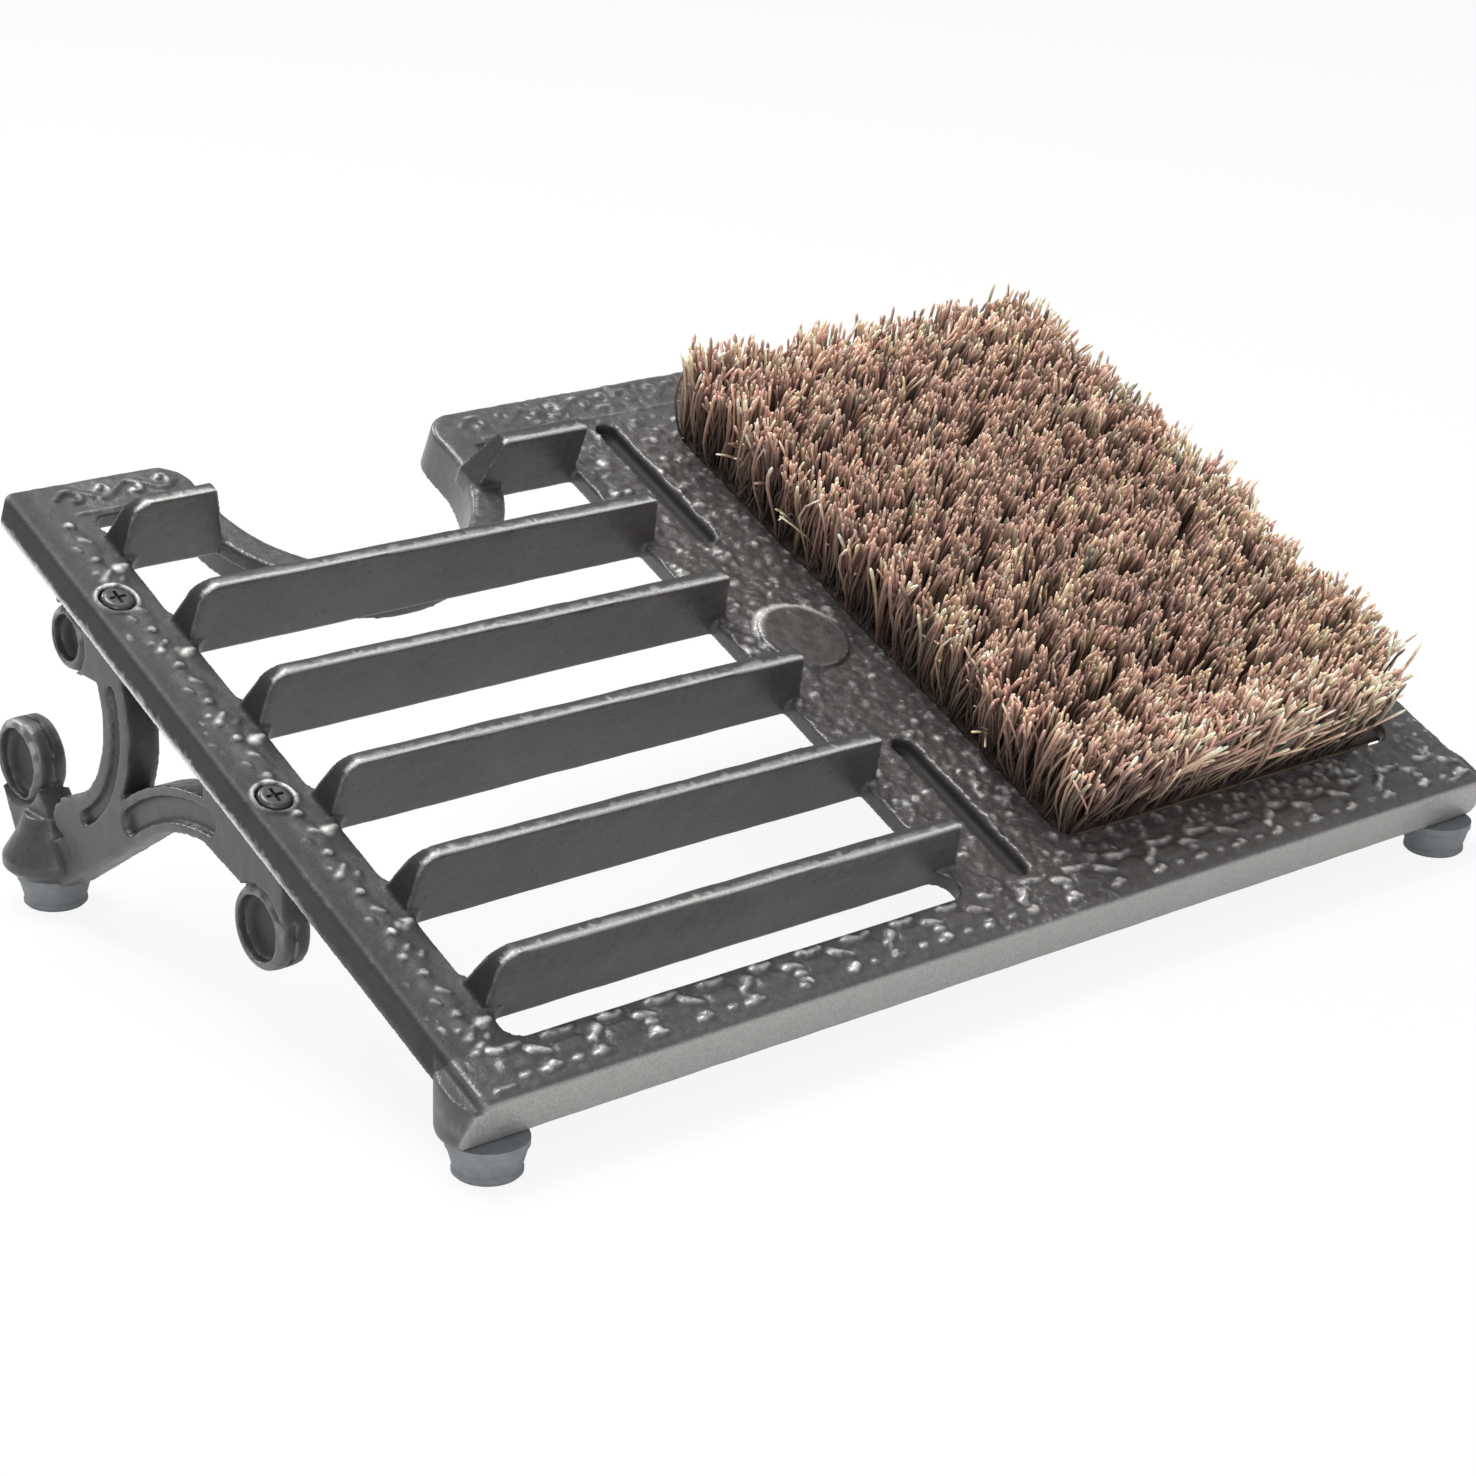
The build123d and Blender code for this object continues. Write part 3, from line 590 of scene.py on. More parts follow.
def in_two(thing, names, side):
    """Split a mesh in two where side is true, with the whole mesh's normals kept across the cut."""
    mesh = thing.data
    facing = normals(mesh)
    polygons = len(mesh.polygons)
    loops = np.empty(len(mesh.loops), dtype=np.int32)
    mesh.loops.foreach_get("vertex_index", loops)
    starts, totals = np.empty(polygons, dtype=np.int32), np.empty(polygons, dtype=np.int32)
    mesh.polygons.foreach_get("loop_start", starts)
    mesh.polygons.foreach_get("loop_total", totals)
    points = coordinates(mesh)
    layers = {n: np.empty(len(points), dtype=np.float32) for n in ("wear_and_highlight", "painted_shade", "coarse")}
    for n, values in layers.items():
        mesh.attributes[n].data.foreach_get("value", values)
    faces = [loops[s:s + t] for s, t in zip(starts, totals)]
    made = []
    for name, wanted in zip(names, (True, False)):
        chosen = [f for f in faces if side[f[0]] == wanted]
        used = np.unique(np.concatenate(chosen))
        place = np.full(len(points), -1)
        place[used] = np.arange(len(used))
        half = new_mesh(name, points[used], [tuple(place[f].tolist()) for f in chosen])
        for n, values in layers.items():
            set_float(half.data, n, values[used])
        half.data.normals_split_custom_set_from_vertices([tuple(n) for n in facing[used]])
        made.append(half)
    bpy.data.objects.remove(thing)
    return made


# The plate casting
PLATE_VOXEL = 0.55 * MM
PLATE_TRIANGLES = 384000
PLATE_SPLIT = 159.0


class PlateSurface:
    """The plate's vertices as cast, before the relief: places in mm and which way each faces."""

    def __init__(self, points, facing):
        self.u, self.v, self.w = to_plate(points).T
        self.lift = facing @ AXES[2]
        self.leftward = -(facing @ AXES[0])
        self.nearward = -(facing @ AXES[1])
        self.top = rise(self.lift, 0.7, 0.2) * (np.abs(self.w) < 0.8)
        self.from_medallion = np.hypot(self.u - RAIL_MIDDLE, self.v - MID_DEPTH)
        self.along_groove = np.abs(np.abs(self.v - MID_DEPTH) - GROOVE_CENTRE)
        in_groove_width = np.abs(self.u - RAIL_MIDDLE) < GROOVE_HALF_WIDTH
        in_groove_length = self.along_groove < GROOVE_HALF_LENGTH
        self.groove = in_groove_width & in_groove_length & (self.w > -3.3) & (self.w < 0)
        self.groove_depth = np.where(self.groove, -self.w, 0)
        self.relief = map_at(RELIEF, self.u, self.v) * self.top

    def coarseness(self):
        """How lumpy the sand texture is: most on the plain parts of the top, least off the top."""
        flat_top = (self.top > 0) & ~self.groove
        rail = (self.u > RAIL_START + 0.5) & (self.u < RAIL_END + 0.5) & flat_top
        border = (self.u > RAIL_END + 0.5) & (self.v > 13.5) & flat_top
        return np.where(rail, 1.0, np.where(border, 0.7, np.where(flat_top, 0.35, 0.12)))

    def blade_tops(self):
        """Each blade's near arris, which gets a painted highlight, and its far one, which gets painted
        shade.
        """
        row = np.floor((self.v - 20.0) / BLADE_PITCH)
        ridge = (self.v - BLADE_START - BLADE_PITCH * row) / BLADE_RIDGE
        blade_top = (self.w > 4) & (self.lift > 0.35)
        near = blade_top * rise(self.lift, 0.45, 0.2) * band(ridge, 0.16, 0.22, 1.2)
        far = blade_top * rise(ridge, 0.42, 0.3)
        return near, far

    def skirt_edge_highlight(self):
        """A painted highlight along the side skirts' bottom edges, fainter towards the front."""
        line = band(self.w, SIDE_SKIRT_EDGE, 0.9, 1.4) * (np.abs(self.u - MID_WIDTH) > 160.9)
        return line * np.clip((self.v - 60) / 25, 0.1, 1)

    def medallion_highlight(self):
        """A painted highlight on the medallion's rim, on its far side."""
        rim = band(self.from_medallion, MEDALLION_RADIUS - 0.1, 1.1, 1.6)
        rim = rim * (self.lift > 0.3) * (self.w > -0.5)
        return rim * rise(self.v - MID_DEPTH + 0.1 * (self.u - RAIL_MIDDLE), 2, 6)


def plate_lumps(points, surface, coarse):
    """Height in mm of the sand texture at each point."""
    sand = unevenness(points, 3.6, 2) * 0.5 + unevenness(points, 1.9, 4) * 0.34
    plain = unevenness(points, 9.0, 1) * 0.12 + sand * coarse ** 1.5
    on_disc = 0.3 * sand + 0.25 * unevenness(points, 7.0, 5)
    disc = surface.from_medallion < MEDALLION_RADIUS - 1.2
    return np.where(surface.groove, 0.02 * sand, np.where(disc, on_disc, plain))


def paint_plate(mesh, points, surface):
    """Wear, painted highlights and painted shade of every vertex. Points are the places before the relief
    was raised.
    """
    s = surface
    bend = convexity(mesh)
    near_arris_highlight, far_arris_shade = s.blade_tops()
    skirt_edge_highlight = s.skirt_edge_highlight()
    # The front corner lugs: their edge highlights dimmed and a little painted shade added
    shaded_lug = (s.v < 24) & (s.w < -1) & (np.abs(s.u - MID_WIDTH) > 138)
    # Painted highlights on the ornament's far slopes, the blades' near arrises, the skirts' bottom edges
    # and the medallion's rim; rubbed paint with painted highlights on the outer edges
    ragged = np.clip(0.85 + 1.5 * unevenness(points, 2.3, 8) + 0.7 * unevenness(points, 1.1, 9), 0, 1.1)
    painted_glints = np.clip(map_at(GLINT, s.u, s.v) * ragged * 1.15, 0, 1) * s.top
    beside_groove = (np.abs(s.u - RAIL_MIDDLE) < 5) & (s.along_groove < 27.5) & (np.abs(s.w) < 3)
    # Rubbed paint on convex edges, which also stands in for their highlights
    edge_wear_and_highlight = rise(bend, 0.035, 0.06) * np.where((s.relief > 0.05) | beside_groove, 0.05, 0.5)
    edge_wear_and_highlight = edge_wear_and_highlight * (1 - far_arris_shade) * (1 - 0.95 * shaded_lug)
    # The front face lighter: partly ground bare metal, partly painted light where it is unshaded
    ground_and_lit_front = (s.v < 1.0) * np.clip(s.nearward, 0, 1) ** 4 * 0.42
    crescent_highlight = 0.9 * s.medallion_highlight()
    wear_and_highlight = np.maximum.reduce([painted_glints, edge_wear_and_highlight, ground_and_lit_front, crescent_highlight, 0.9 * near_arris_highlight, skirt_edge_highlight])
    # The medallion's disc a little lighter all over
    disc = (s.from_medallion < MEDALLION_RADIUS - 1) & (s.top > 0)
    set_float(mesh, "wear_and_highlight", np.clip(wear_and_highlight + np.where(disc, 0.1, 0), 0, 1))
    # Painted shade in the corners and grooves, on the ornament's near slopes, down the left rail and its
    # skirt, on the blades' far arrises and left end faces and on the lugs
    near_slope_shade = np.clip(map_at(SLOPE, s.u, s.v) * s.top - 0.3, 0, 0.6)
    painted_shade_amount = fall(bend, -0.01, 0.07) * 0.75 + np.clip(s.groove_depth / 1.6, 0, 1) + near_slope_shade
    left_rail_shade = 0.58 * fall(s.u, 18, 3) + 0.15 * fall(s.u, 6.5, 2)
    left_rail_shade = left_rail_shade + 0.2 * rise(s.leftward, 0.5, 0.3) * (s.u < 4)
    blade_end_shade = (s.w > 0.4) * (s.u < RAIL_START) * rise(s.leftward, 0.3, 0.3)
    painted_shade_amount = painted_shade_amount + left_rail_shade * (1 - skirt_edge_highlight) * (s.v > 14)
    painted_shade_amount = painted_shade_amount + 0.75 * far_arris_shade + 0.8 * blade_end_shade + 0.2 * shaded_lug
    set_float(mesh, "painted_shade", np.clip(painted_shade_amount, 0, 1))


def build_plate():
    thing = cast_copy("frame_casting", "plate_casting", PLATE_VOXEL, 2)
    mesh = thing.data
    points, facing = coordinates(mesh), normals(mesh)
    surface = PlateSurface(points, facing)
    coarse = surface.coarseness()
    # The two grooves are cut a little deeper than their mould left them
    raised = surface.relief - 0.45 * surface.groove_depth
    lumps = plate_lumps(points, surface, coarse)
    shift = AXES[2] * raised[:, None] + facing * lumps[:, None]
    set_coordinates(mesh, points + shift * MM)
    paint_plate(mesh, points, surface)
    set_float(mesh, "coarse", coarse)
    decimate(thing, PLATE_TRIANGLES)
    side = to_plate(coordinates(thing.data))[:, 0] < PLATE_SPLIT
    for half in in_two(thing, ("plate_casting_1", "plate_casting_2"), side):
        half.data.materials.append(IRON)
        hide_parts("frame_casting")
        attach(half, "root")


# The legs
LEG_VOXEL = 0.5 * MM
LEG_TRIANGLES = 90000
LEG_HALF_THICKNESS = 4.5
LEG_COARSENESS = 0.12
# Scrolls of a leg: distance back from the plate's front edge, height and radius in mm
SCROLLS = ((197.0, 35.0, 10.5), (90.3, 28.0, 10.2), (171.0, 74.0, 8.0))


def sunk_deeper(inset):
    """How far in from the leg's outer face a point goes that was this far in, in mm."""
    lip, lip_gain, floor_gain = 1.3, 1.6, 0.756
    past_lip = lip * lip_gain + (inset - lip) * floor_gain
    return np.where(inset > 0, np.where(inset < lip, inset * lip_gain, past_lip), inset)


def build_leg(side):
    thing = cast_copy("leg_" + side, "cast_leg_" + side, LEG_VOXEL, 4)
    mesh = thing.data
    points, facing = coordinates(mesh), normals(mesh)
    middle = (MID_WIDTH - SCREW_INSET) * (-1 if side == "left" else 1)
    across = points[:, 0] / MM - middle
    back, up = points[:, 1] / MM - CORNER[1], points[:, 2] / MM
    inset = LEG_HALF_THICKNESS - np.abs(across)
    # Channels sunk further, and the scrolls' rims rolled over
    deeper = sunk_deeper(inset)
    recess_shade = np.zeros(len(points))
    for centre, height, radius in SCROLLS:
        away = np.hypot(back - centre, up - height)
        roll = np.clip((away - radius + 2.4) / 2.4, 0, 1) * (away < radius + 0.6)
        sunk = np.clip((radius - 2.6 - away) / 1.6, 0, 1) * (inset > 1.0)
        recess_shade = np.maximum(recess_shade, sunk)
        deeper = np.where((inset > -0.5) & (inset < 3.5), deeper + 1.3 * roll ** 2 + 0.5 * sunk, deeper)
    leg_body = np.abs(across) < LEG_HALF_THICKNESS + 0.5
    across = np.where(leg_body, np.sign(across) * (LEG_HALF_THICKNESS - deeper), across)
    lumps = unevenness(points, 5.0, 3) * 0.12 + unevenness(points, 2.2, 6) * 0.05
    points[:, 0] = (across + middle) * MM
    set_coordinates(mesh, points + facing * lumps[:, None] * MM)
    bend = convexity(mesh, 8)
    # Rubbed paint on the edges that also stands for their highlights, and a painted highlight on the upper
    # side of each scroll's rim
    ragged = np.clip(0.5 + 2.0 * unevenness(points, 3.0, 8), 0, 1)
    wear_and_highlight = rise(bend, 0.02, 0.06) * 0.4
    for centre, height, radius in SCROLLS:
        away = np.hypot(back - centre, up - height)
        rim_highlight = np.exp(-((away - radius + 1.1) / 0.9) ** 2) * (np.abs(across) > 2.5)
        wear_and_highlight = np.maximum(wear_and_highlight, rim_highlight * np.clip(0.5 + (up - height) / radius, 0, 1) * ragged * 0.75)
    set_float(mesh, "wear_and_highlight", wear_and_highlight)
    # Painted shade: a little over the whole leg, more in corners and in the scrolls' recesses
    painted_shade_amount = 0.14 + fall(bend, -0.012, 0.08) * 0.9 + 0.45 * recess_shade
    set_float(mesh, "painted_shade", np.clip(painted_shade_amount, 0, 1))
    set_float(mesh, "coarse", np.full(len(points), LEG_COARSENESS))
    decimate(thing, LEG_TRIANGLES)
    smooth_shade(thing)
    thing.data.materials.append(SHADED_LEG_IRON)
    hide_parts("leg_" + side)
    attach(thing, "root")


build_plate()
for side in ("left", "right"):
    build_leg(side)


# The brush: tufts of coarse fibre set in a grid over the block
FIELD = (191.0, 307.0, 25.0, 186.0)
TUFT_PITCH = 6.1
FIBRES_PER_TUFT = 24
# Shares of the way from the brush's middle to its sides, beyond which a tuft splays, is left out of
# the near right corner, or is made with more rings
SPLAY_SHARE, CORNER_SHARE, OUTER_SHARE = 0.9, 0.86, 0.86
TUFT_ROOT_RADIUS, TUFT_ROOT_W, TUFT_TOP_W = 1.9, -1.3, 23.9
STRAY_ROOT_W = -0.5
PALETTE = np.array([
    (0.335, 0.205, 0.160),
    (0.265, 0.158, 0.132),
    (0.410, 0.272, 0.208),
    (0.480, 0.350, 0.240),
    (0.170, 0.105, 0.085),
    (0.225, 0.205, 0.150),
])
# How often each colour of the palette comes up, and what straw coloured spots add to that
SHARES = np.array([5.0, 4.0, 4.0, 2.5, 2.0, 1.0])
STRAW = np.array([0.3, 0.2, 1.5, 4.0, 0.3, 0.6])


def fibre_set(count):
    """Empty table of fibres: root, tip, two bends, radius and colour."""
    return {
        "root": np.zeros((count, 3)), "tip": np.zeros((count, 3)), "bow": np.zeros((count, 3)),
        "sway": np.zeros((count, 3)), "radius": np.zeros(count), "colour": np.zeros((count, 3)),
    }


def merged(tables):
    return {key: np.concatenate([t[key] for t in tables]) for key in tables[0]}


def pick(rng, shares, count):
    return PALETTE[rng.choice(len(PALETTE), count, p=shares / shares.sum())]


def spread_out(across, along):
    """How far a tuft's tips lean from its root, in mm, by its place from -1 to 1 in the brush."""
    sideways = (3.0 if across < 0 else 0.6) * across ** 3
    lengthways = (1.4 if along > 0 else 2.4) * along ** 3
    fan = np.array([sideways, lengthways])
    if across < -SPLAY_SHARE:
        fan = fan + (-1.8, 0)
    if along < -SPLAY_SHARE:
        fan = fan + (1.4 * max(across + 0.35, 0), 0.6)
    return fan


def tuft(rng, across, along):
    """One tuft at this place from -1 to 1 in the brush, or None where the brush has none."""
    u0, u1, v0, v1 = FIELD
    n = FIBRES_PER_TUFT
    at_edge = max(abs(across), abs(along)) >= SPLAY_SHARE
    some = fibre_set(n)
    centre = np.array([u0 + (u1 - u0) * (across + 1) / 2, v0 + (v1 - v0) * (along + 1) / 2])
    centre = centre + rng.uniform(-0.5, 0.5, 2)
    angle, spread = rng.uniform(0, 2 * math.pi, n), np.sqrt(rng.random(n))
    disc = np.column_stack([spread * np.cos(angle), spread * np.sin(angle)])
    if across > CORNER_SHARE and along < -CORNER_SHARE:
        return None
    lean = rng.normal(0, 1.8, 2)
    if along < -SPLAY_SHARE:
        lean = lean + (rng.normal(0.2, 2.0), 0)
    some["root"][:, :2] = centre + TUFT_ROOT_RADIUS * disc
    some["root"][:, 2] = TUFT_ROOT_W
    # Edge tufts lighter and inner tufts darker: painted light and painted shade
    splay, loose, bowed, painted_light_gain = (3.8, 1.7, 1.6, 1.3) if at_edge else (2.35, 1.0, 0.9, 0.86)
    tips = centre + spread_out(across, along) + lean + splay * disc
    some["tip"][:, :2] = tips + rng.normal(0, loose, (n, 2))
    long = np.where(rng.random(n) < 0.06, rng.uniform(0, 3.0, n), 0)
    some["tip"][:, 2] = TUFT_TOP_W + rng.normal(0, 1.1) + rng.normal(0, 1.5, n) + long
    some["bow"][:, :2] = rng.normal(0, bowed, (n, 2))
    some["sway"][:, :2] = rng.normal(0, 0.45, (n, 2))
    some["radius"][:] = rng.uniform(0.29, 0.48, n)
    near_right = max(0.0, 0.5 * (across - along) - 0.25)
    shares = SHARES + STRAW * near_right * 6
    tint = pick(rng, shares, 1)
    own = rng.random(n) < 0.5
    some["colour"][:] = np.where(own[:, None], tint, pick(rng, shares, n)) * painted_light_gain
    return some


def lay_tufts():
    """Every tuft's fibres: fanned from a tight root, more so and outwards at the brush's edges."""
    rng = np.random.default_rng(41)
    u0, u1, v0, v1 = FIELD
    columns, rows = round((u1 - u0) / TUFT_PITCH), round((v1 - v0) / TUFT_PITCH)
    inner, outer = [], []
    for i in range(columns + 1):
        for j in range(rows + 1):
            across, along = 2 * i / columns - 1, 2 * j / rows - 1
            some = tuft(rng, across, along)
            if some:
                edge = max(abs(across), abs(along))
                (inner if edge < OUTER_SHARE else outer).append(some)
    return merged(inner), merged(outer + [strays(rng)])


def in_columns(*values):
    """Numbers and arrays as the columns of one table."""
    return np.column_stack(np.broadcast_arrays(*values))


def left_strays(rng, some, n):
    """Kinked fibres down the left side."""
    u0, _, v0, v1 = FIELD
    v = rng.uniform(v0 + 8, v1 - 4, n)
    some["root"][:] = in_columns(rng.uniform(u0 - 0.5, u0 + 3, n), v, STRAY_ROOT_W)
    away = rng.uniform(2.5, 9.0, n)
    some["tip"][:] = in_columns(u0 - away, v + rng.normal(0, 5, n), 21 - away * rng.uniform(0.3, 1.9, n))
    some["bow"][:] = in_columns(rng.uniform(0, 2.5, n), rng.normal(0, 1.5, n), rng.uniform(0, 3.5, n))


def front_strays(rng, some, n):
    """Long fibres swept along the front, none past the brush's right side."""
    u0, u1, v0, _ = FIELD
    u = rng.uniform(u0 + 8, u1 - 22, n)
    some["root"][:] = in_columns(u, rng.uniform(v0 - 1.0, v0 + 1, n), STRAY_ROOT_W)
    away = rng.uniform(9, 32, n)
    height = rng.uniform(11, 23, n)
    some["tip"][:] = in_columns(np.minimum(u + away, u1 - 1), v0 - rng.uniform(1.5, 6.5, n), height)
    some["bow"][:] = in_columns(rng.uniform(-4.5, 0, n), rng.uniform(-3, -0.5, n), rng.uniform(1, 5, n))


def rear_strays(rng, some, n):
    """Wisps at the rear."""
    u0, u1, _, v1 = FIELD
    u = rng.uniform(u0, u1, n)
    some["root"][:] = in_columns(u, rng.uniform(v1 - 5, v1, n), 0.0)
    tip_u = u + rng.normal(0, 2.5, n)
    some["tip"][:] = in_columns(tip_u, v1 + rng.uniform(0, 4, n), rng.uniform(26, 28.3, n))
    some["bow"][:, :2] = rng.normal(0, 0.8, (n, 2))


def corner_strays(rng, some, n):
    """Wisps at the far left corner."""
    u0, _, _, v1 = FIELD
    some["root"][:] = in_columns(rng.uniform(u0, u0 + 3, n), rng.uniform(v1 - 5, v1, n), 0.0)
    away = rng.uniform(1, 8, n)
    some["tip"][:] = in_columns(u0 - away, v1 + rng.uniform(-2, 4, n), rng.uniform(24, 28, n))
    some["bow"][:, :2] = rng.normal(0, 1.0, (n, 2))


def strays(rng):
    """Loose fibres round the brush: each kind's shape, number and how much painted light raises or lowers
    its colour.
    """
    kinds = (
        (left_strays, 44, 1.25), (front_strays, 64, 1.5), (rear_strays, 44, 0.8), (corner_strays, 22, 1.25),
    )
    made = []
    for shape, n, painted_light_gain in kinds:
        some = fibre_set(n)
        shape(rng, some, n)
        some["radius"][:] = rng.uniform(0.28, 0.44, n)
        some["colour"][:] = pick(rng, SHARES + STRAW * 2.5, n) * painted_light_gain
        made.append(some)
    return merged(made)


# A fibre from root to tip, each as shares of its length and the value there: how thick it is, how
# light it is painted, with painted shade low down among the tufts and painted light towards the top, and
# how much of the pale cut end shows
THICKNESS = [0, 0.5, 0.9, 0.975, 1], [0.8, 0.92, 1.08, 1.12, 0.62]
PAINTED_LIGHT_ALONG_FIBRE = [0, 0.2, 0.55, 0.85, 0.95, 1], [0.12, 0.24, 0.72, 1.05, 1.75, 2.2]
CUT_END = [0.93, 1], [0, 1]
CUT_COLOUR = np.array([0.33, 0.25, 0.185])


def strand_places(rng, fibres, t, corners):
    """Vertices of every fibre's tube, by fibre, ring and corner, in plate mm."""
    n = len(fibres["radius"])
    chord = fibres["tip"] - fibres["root"]
    ease = np.column_stack([t ** 1.3, t ** 1.3, t])
    line = fibres["root"][:, None, :] + chord[:, None, :] * ease[None]
    line = line + fibres["bow"][:, None, :] * np.sin(math.pi * t)[None, :, None]
    line = line + fibres["sway"][:, None, :] * np.sin(2 * math.pi * t)[None, :, None]
    axis = chord / np.linalg.norm(chord, axis=1)[:, None]
    side = np.cross(axis, (0.31, 0.95, 0.02))
    side = side / np.linalg.norm(side, axis=1)[:, None]
    other = np.cross(axis, side)
    turn = rng.uniform(0, 2 * math.pi, n)
    thick = np.interp(t, *THICKNESS)
    places = np.empty((n, len(t), corners, 3))
    for k in range(corners):
        a = turn + 2 * math.pi * k / corners
        out = np.cos(a)[:, None] * side + np.sin(a)[:, None] * other
        places[:, :, k] = line + out[:, None, :] * (fibres["radius"][:, None] * thick[None])[:, :, None]
    return places


def strand_faces(n, rings, corners):
    """Quads round every fibre's tube and one over its end."""
    start = (np.arange(n) * rings * corners)[:, None, None]
    s, k = np.meshgrid(np.arange(rings - 1), np.arange(corners), indexing="ij")
    low, low_next = s * corners + k, s * corners + (k + 1) % corners
    quads = np.stack([low, low_next, low_next + corners, low + corners], axis=-1).reshape(1, -1, 4) + start
    caps = start[:, 0] + (rings - 1) * corners + np.arange(corners)[None]
    return np.concatenate([quads.reshape(n, -1, 4), caps[:, None, :]], axis=1)


def strand_colours(rng, fibres, t, corners):
    """Painted shade at the root, warm and lighter along its length as painted light, and pale where it was
    cut.
    """
    n = len(fibres["radius"])
    level = np.interp(t, *PAINTED_LIGHT_ALONG_FIBRE)
    shade = rng.uniform(0.35, 1.35, n)
    tone = fibres["colour"][:, None, :] * (shade[:, None] * level[None])[:, :, None]
    pale = np.interp(t, *CUT_END)[None, :, None] * rng.uniform(0.2, 1, n)[:, None, None]
    tone = np.clip(tone + pale * CUT_COLOUR, 0, 0.95)
    return np.repeat(tone[:, :, None, :], corners, axis=2).reshape(-1, 3)


def set_strand_colours(thing, colours):
    layer = thing.data.color_attributes.new("strand", "FLOAT_COLOR", "POINT")
    layer.data.foreach_set("color", np.column_stack([colours, np.ones(len(colours))]).ravel())


def strand_mesh(name, fibres, stations, seed, corners=4):
    """One mesh of many fibres: tubes that swell a little towards a blunt, pale, cut end."""
    rng = np.random.default_rng(seed)
    t = np.array(stations)
    places = strand_places(rng, fibres, t, corners)
    quads = strand_faces(len(places), len(t), corners)
    thing = new_mesh(name, from_plate(places.reshape(-1, 3)), quads.reshape(-1, 4).tolist())
    set_strand_colours(thing, strand_colours(rng, fibres, t, corners))
    thing.data.materials.append(FIBRE)
    return thing


def shade_bed():
    """Dark layer at the tufts' roots that covers the block between them, its colour painted shade."""
    margin, bottom, top_edge, shade_colour = 1.0, -2.45, -2.3, (0.045, 0.028, 0.022)
    u0, u1, v0, v1 = FIELD[0] - margin, FIELD[1] + margin, FIELD[2] - margin, FIELD[3] + margin
    nu, nv = round(u1 - u0), round(v1 - v0)
    us, vs = np.linspace(u0, u1, nu + 1), np.linspace(v0, v1, nv + 1)
    vertices, faces = [], []
    for layer in (0, 1):
        for v in vs:
            for u in us:
                inset = min(u - u0, u1 - u, v - v0, v1 - v)
                lump = noise.noise(Vector((u * 0.6, v * 0.6, 3.0))) * 0.5
                crowned = top_edge + min(inset, 1.2) * 1.2 + (lump if inset > 0.5 else 0)
                vertices.append((u, v, bottom if layer == 0 else crowned))
    size = (nu + 1) * (nv + 1)
    for j in range(nv):
        for i in range(nu):
            a = j * (nu + 1) + i
            quad = (a, a + 1, a + nu + 2, a + nu + 1)
            faces.append(tuple(size + q for q in quad))
            faces.append(quad[::-1])
    rim = list(range(nu + 1))
    rim += [(j + 1) * (nu + 1) + nu for j in range(nv)]
    rim += [nv * (nu + 1) + i for i in range(nu - 1, -1, -1)]
    rim += [j * (nu + 1) for j in range(nv - 1, 0, -1)]
    for a, b in zip(rim, rim[1:] + rim[:1]):
        faces.append((a, b, size + b, size + a))
    thing = new_mesh("bristle_shade_bed", from_plate(np.array(vertices)), faces)
    set_strand_colours(thing, np.tile(shade_colour, (len(vertices), 1)))
    thing.data.materials.append(FIBRE)
    return thing


# Where along a fibre its rings lie, and the most triangles that one mesh of fibres gets
INNER_STATIONS = (0.0, 0.4, 0.8, 0.955, 1.0)
OUTER_STATIONS = (0.0, 0.18, 0.4, 0.62, 0.82, 0.965, 1.0)
STRAND_TRIANGLES = 190000


def portions(table, stations):
    """A table of fibres cut into as few tables as the limit on triangles allows."""
    count = len(table["radius"])
    triangles_per_fibre = (len(stations) - 1) * 8 + 2
    parts = -(-count // (STRAND_TRIANGLES // triangles_per_fibre))
    for p in range(parts):
        share = slice(count * p // parts, count * (p + 1) // parts)
        yield {key: values[share] for key, values in table.items()}, stations


inner, outer = lay_tufts()
groups = [*portions(inner, INNER_STATIONS), *portions(outer, OUTER_STATIONS)]
brush_pieces = [shade_bed()]
for number, (table, stations) in enumerate(groups):
    brush_pieces.append(strand_mesh("bristles_%d" % (number + 1), table, stations, 100 + number))
for piece in brush_pieces:
    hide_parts("brush_bristles")
    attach(piece, "root")

# Materials of the CAD nodes that stay, by how their names start
FINISHES = (
    ("leg_screw", SCREW), ("foot_screw", ZINC), ("foot_washer", ZINC), ("brush_screw", ZINC),
    ("foot_", RUBBER), ("brush_backing", WOOD),
)
for name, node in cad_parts.items():
    chosen = next((finish for start, finish in FINISHES if name.startswith(start)), None)
    if chosen:
        node.data.materials.clear()
        node.data.materials.append(chosen)


# Floor, light and camera
BACKDROP_WHITE = (0.985, 0.985, 0.98, 1)


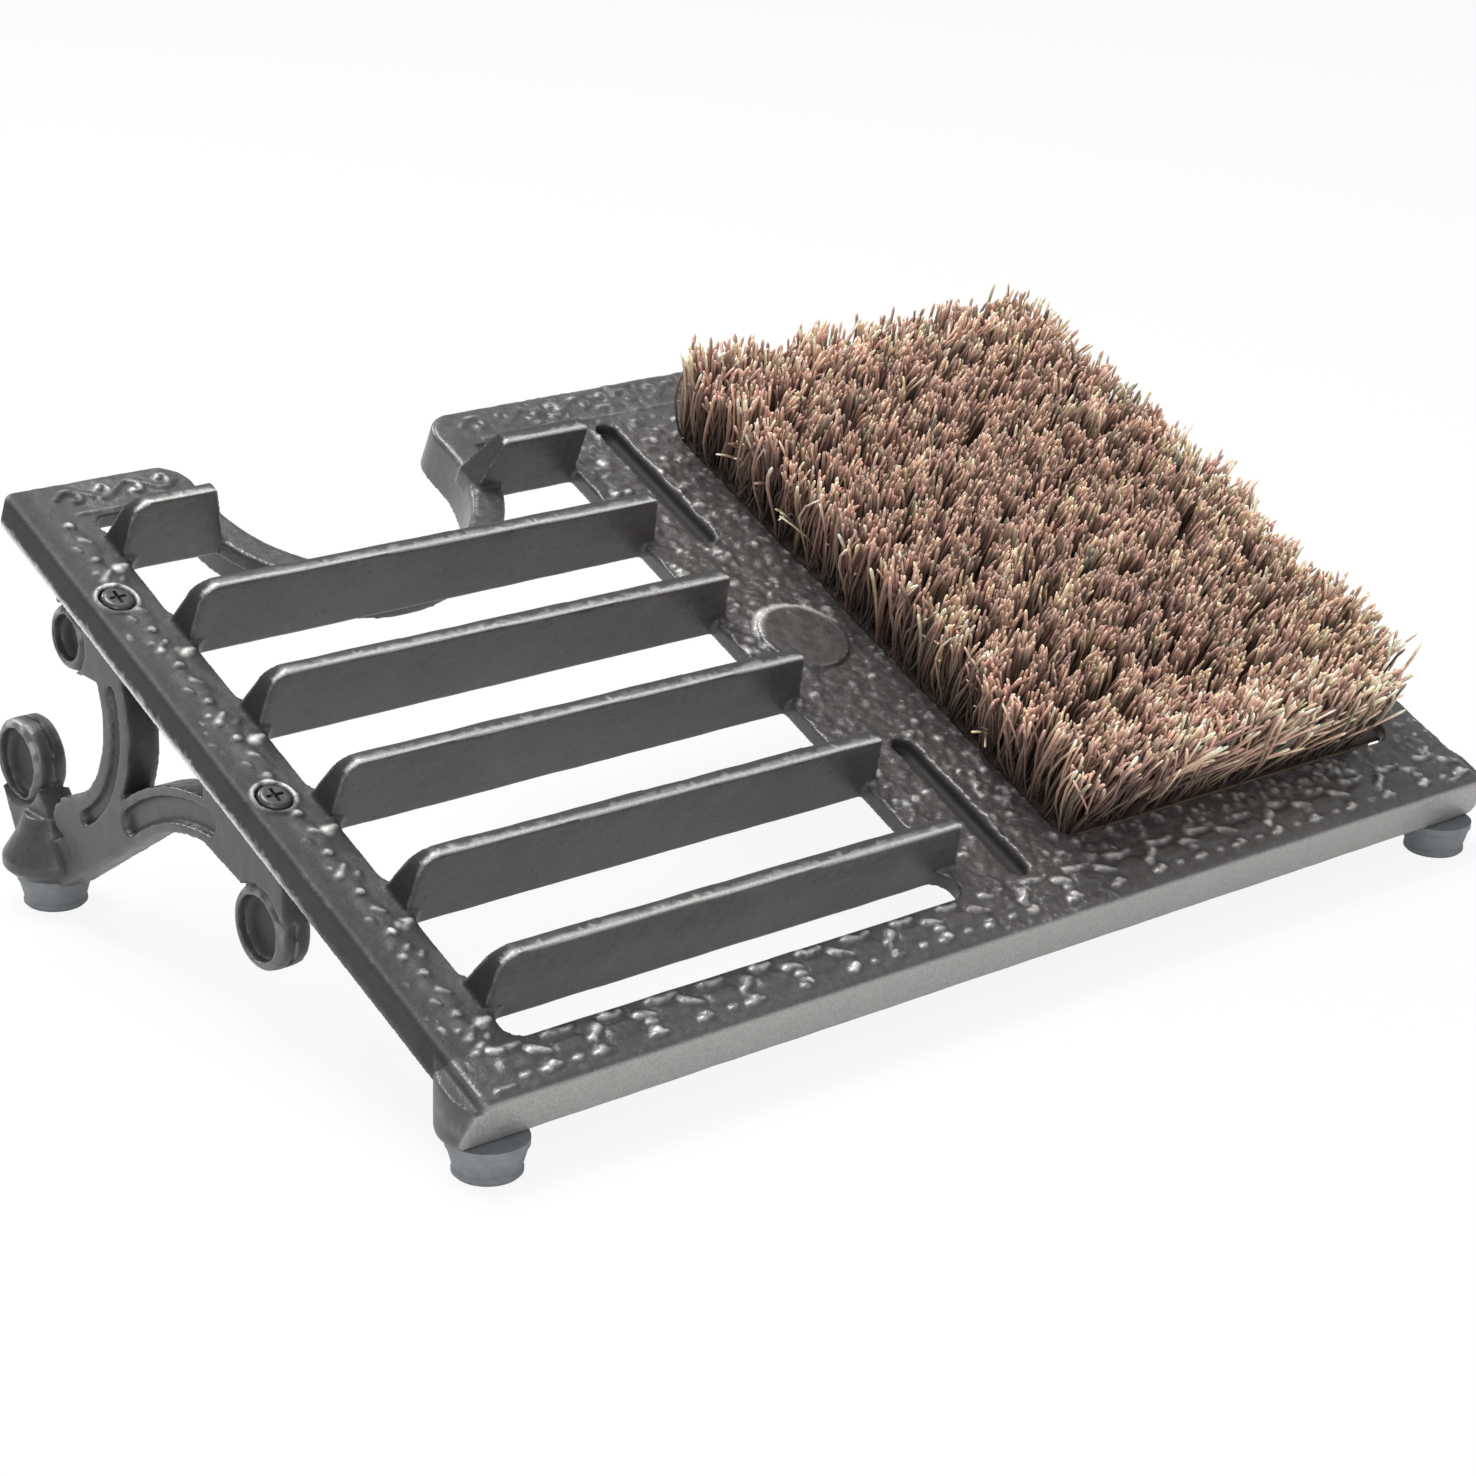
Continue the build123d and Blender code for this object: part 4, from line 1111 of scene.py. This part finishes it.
def white_floor():
    """A pale floor that is seen nearly white, is mirrored half as bright and takes a soft shadow."""
    half, seen_share, mirrored_share = 6, 0.9, 0.45
    corners = [(-half, -half, 0), (half, -half, 0), (half, half, 0), (-half, half, 0)]
    floor = new_mesh("floor", corners, [(0, 1, 2, 3)], smooth=False)
    made, tree, shader, _ = material("floor_white")
    shader.inputs["Base Color"].default_value = (0.86, 0.86, 0.85, 1)
    shader.inputs["Roughness"].default_value = 0.7
    shader.inputs["Specular IOR Level"].default_value = 0.2
    path = tree.nodes.new("ShaderNodeLightPath")
    bright = tree.nodes.new("ShaderNodeEmission")
    bright.inputs[0].default_value = BACKDROP_WHITE
    blend = tree.nodes.new("ShaderNodeMixShader")
    seen = math_node(tree, "MULTIPLY", path.outputs["Is Camera Ray"], seen_share)
    mirrored = math_node(tree, "MULTIPLY", path.outputs["Is Glossy Ray"], mirrored_share)
    out = next(n for n in tree.nodes if n.type == "OUTPUT_MATERIAL")
    tree.links.new(math_node(tree, "MAXIMUM", seen, mirrored), blend.inputs[0])
    tree.links.new(shader.outputs[0], blend.inputs[1])
    tree.links.new(bright.outputs[0], blend.inputs[2])
    tree.links.new(blend.outputs[0], out.inputs[0])
    floor.data.materials.append(made)


def studio_world():
    """Soft light from all round, seen as a white backdrop by the camera."""
    world = bpy.data.worlds.new("studio")
    bpy.context.scene.world = world
    world.use_nodes = True
    tree = world.node_tree
    tree.nodes.clear()
    out = tree.nodes.new("ShaderNodeOutputWorld")
    soft = tree.nodes.new("ShaderNodeBackground")
    soft.inputs[0].default_value = (0.97, 0.985, 1.0, 1)
    soft.inputs[1].default_value = 0.55
    seen = tree.nodes.new("ShaderNodeBackground")
    seen.inputs[0].default_value = BACKDROP_WHITE
    seen.inputs[1].default_value = 1.0
    choose = tree.nodes.new("ShaderNodeMixShader")
    path = tree.nodes.new("ShaderNodeLightPath")
    tree.links.new(path.outputs["Is Camera Ray"], choose.inputs[0])
    tree.links.new(soft.outputs[0], choose.inputs[1])
    tree.links.new(seen.outputs[0], choose.inputs[2])
    tree.links.new(choose.outputs[0], out.inputs[0])


def area_light(name, place, target, size, power):
    data = bpy.data.lights.new(name, "AREA")
    data.shape = "RECTANGLE"
    data.size, data.size_y = size
    data.energy = power
    thing = bpy.data.objects.new(name, data)
    bpy.context.scene.collection.objects.link(thing)
    thing.location = place
    aim = Vector(target) - Vector(place)
    thing.rotation_euler = aim.to_track_quat("-Z", "Y").to_euler()


white_floor()
studio_world()
area_light("overhead", (-0.15, 0.3, 1.3), (0, 0, 0.05), (0.8, 0.6), 17)
area_light("key", (-0.4, 1.25, 0.8), (0, 0, 0.06), (0.4, 0.3), 8)
area_light("fill", (-0.75, -1.0, 0.5), (0, 0, 0.05), (0.3, 0.6), 3.8)

# The photograph's camera: its place in metres, and which way its right side and its top point
CAMERA_PLACE = (-0.561659, -0.644451, 0.354572)
CAMERA_RIGHT = Vector((0.763353, -0.645147, 0.032824))
CAMERA_UP = Vector((0.200816, 0.285291, 0.937167))
CAMERA_BACK = CAMERA_RIGHT.cross(CAMERA_UP)

camera_data = bpy.data.cameras.new("camera")
camera_data.sensor_width = 36.0
camera_data.lens = 87.9725
camera_data.shift_x = -0.00766
camera_data.shift_y = -0.00696
camera = bpy.data.objects.new("camera", camera_data)
bpy.context.scene.collection.objects.link(camera)
turned = Matrix((CAMERA_RIGHT, CAMERA_UP, CAMERA_BACK)).transposed()
camera.matrix_world = Matrix.Translation(CAMERA_PLACE) @ turned.to_4x4()
bpy.context.scene.camera = camera
bpy.context.scene.view_settings.view_transform = "Standard"
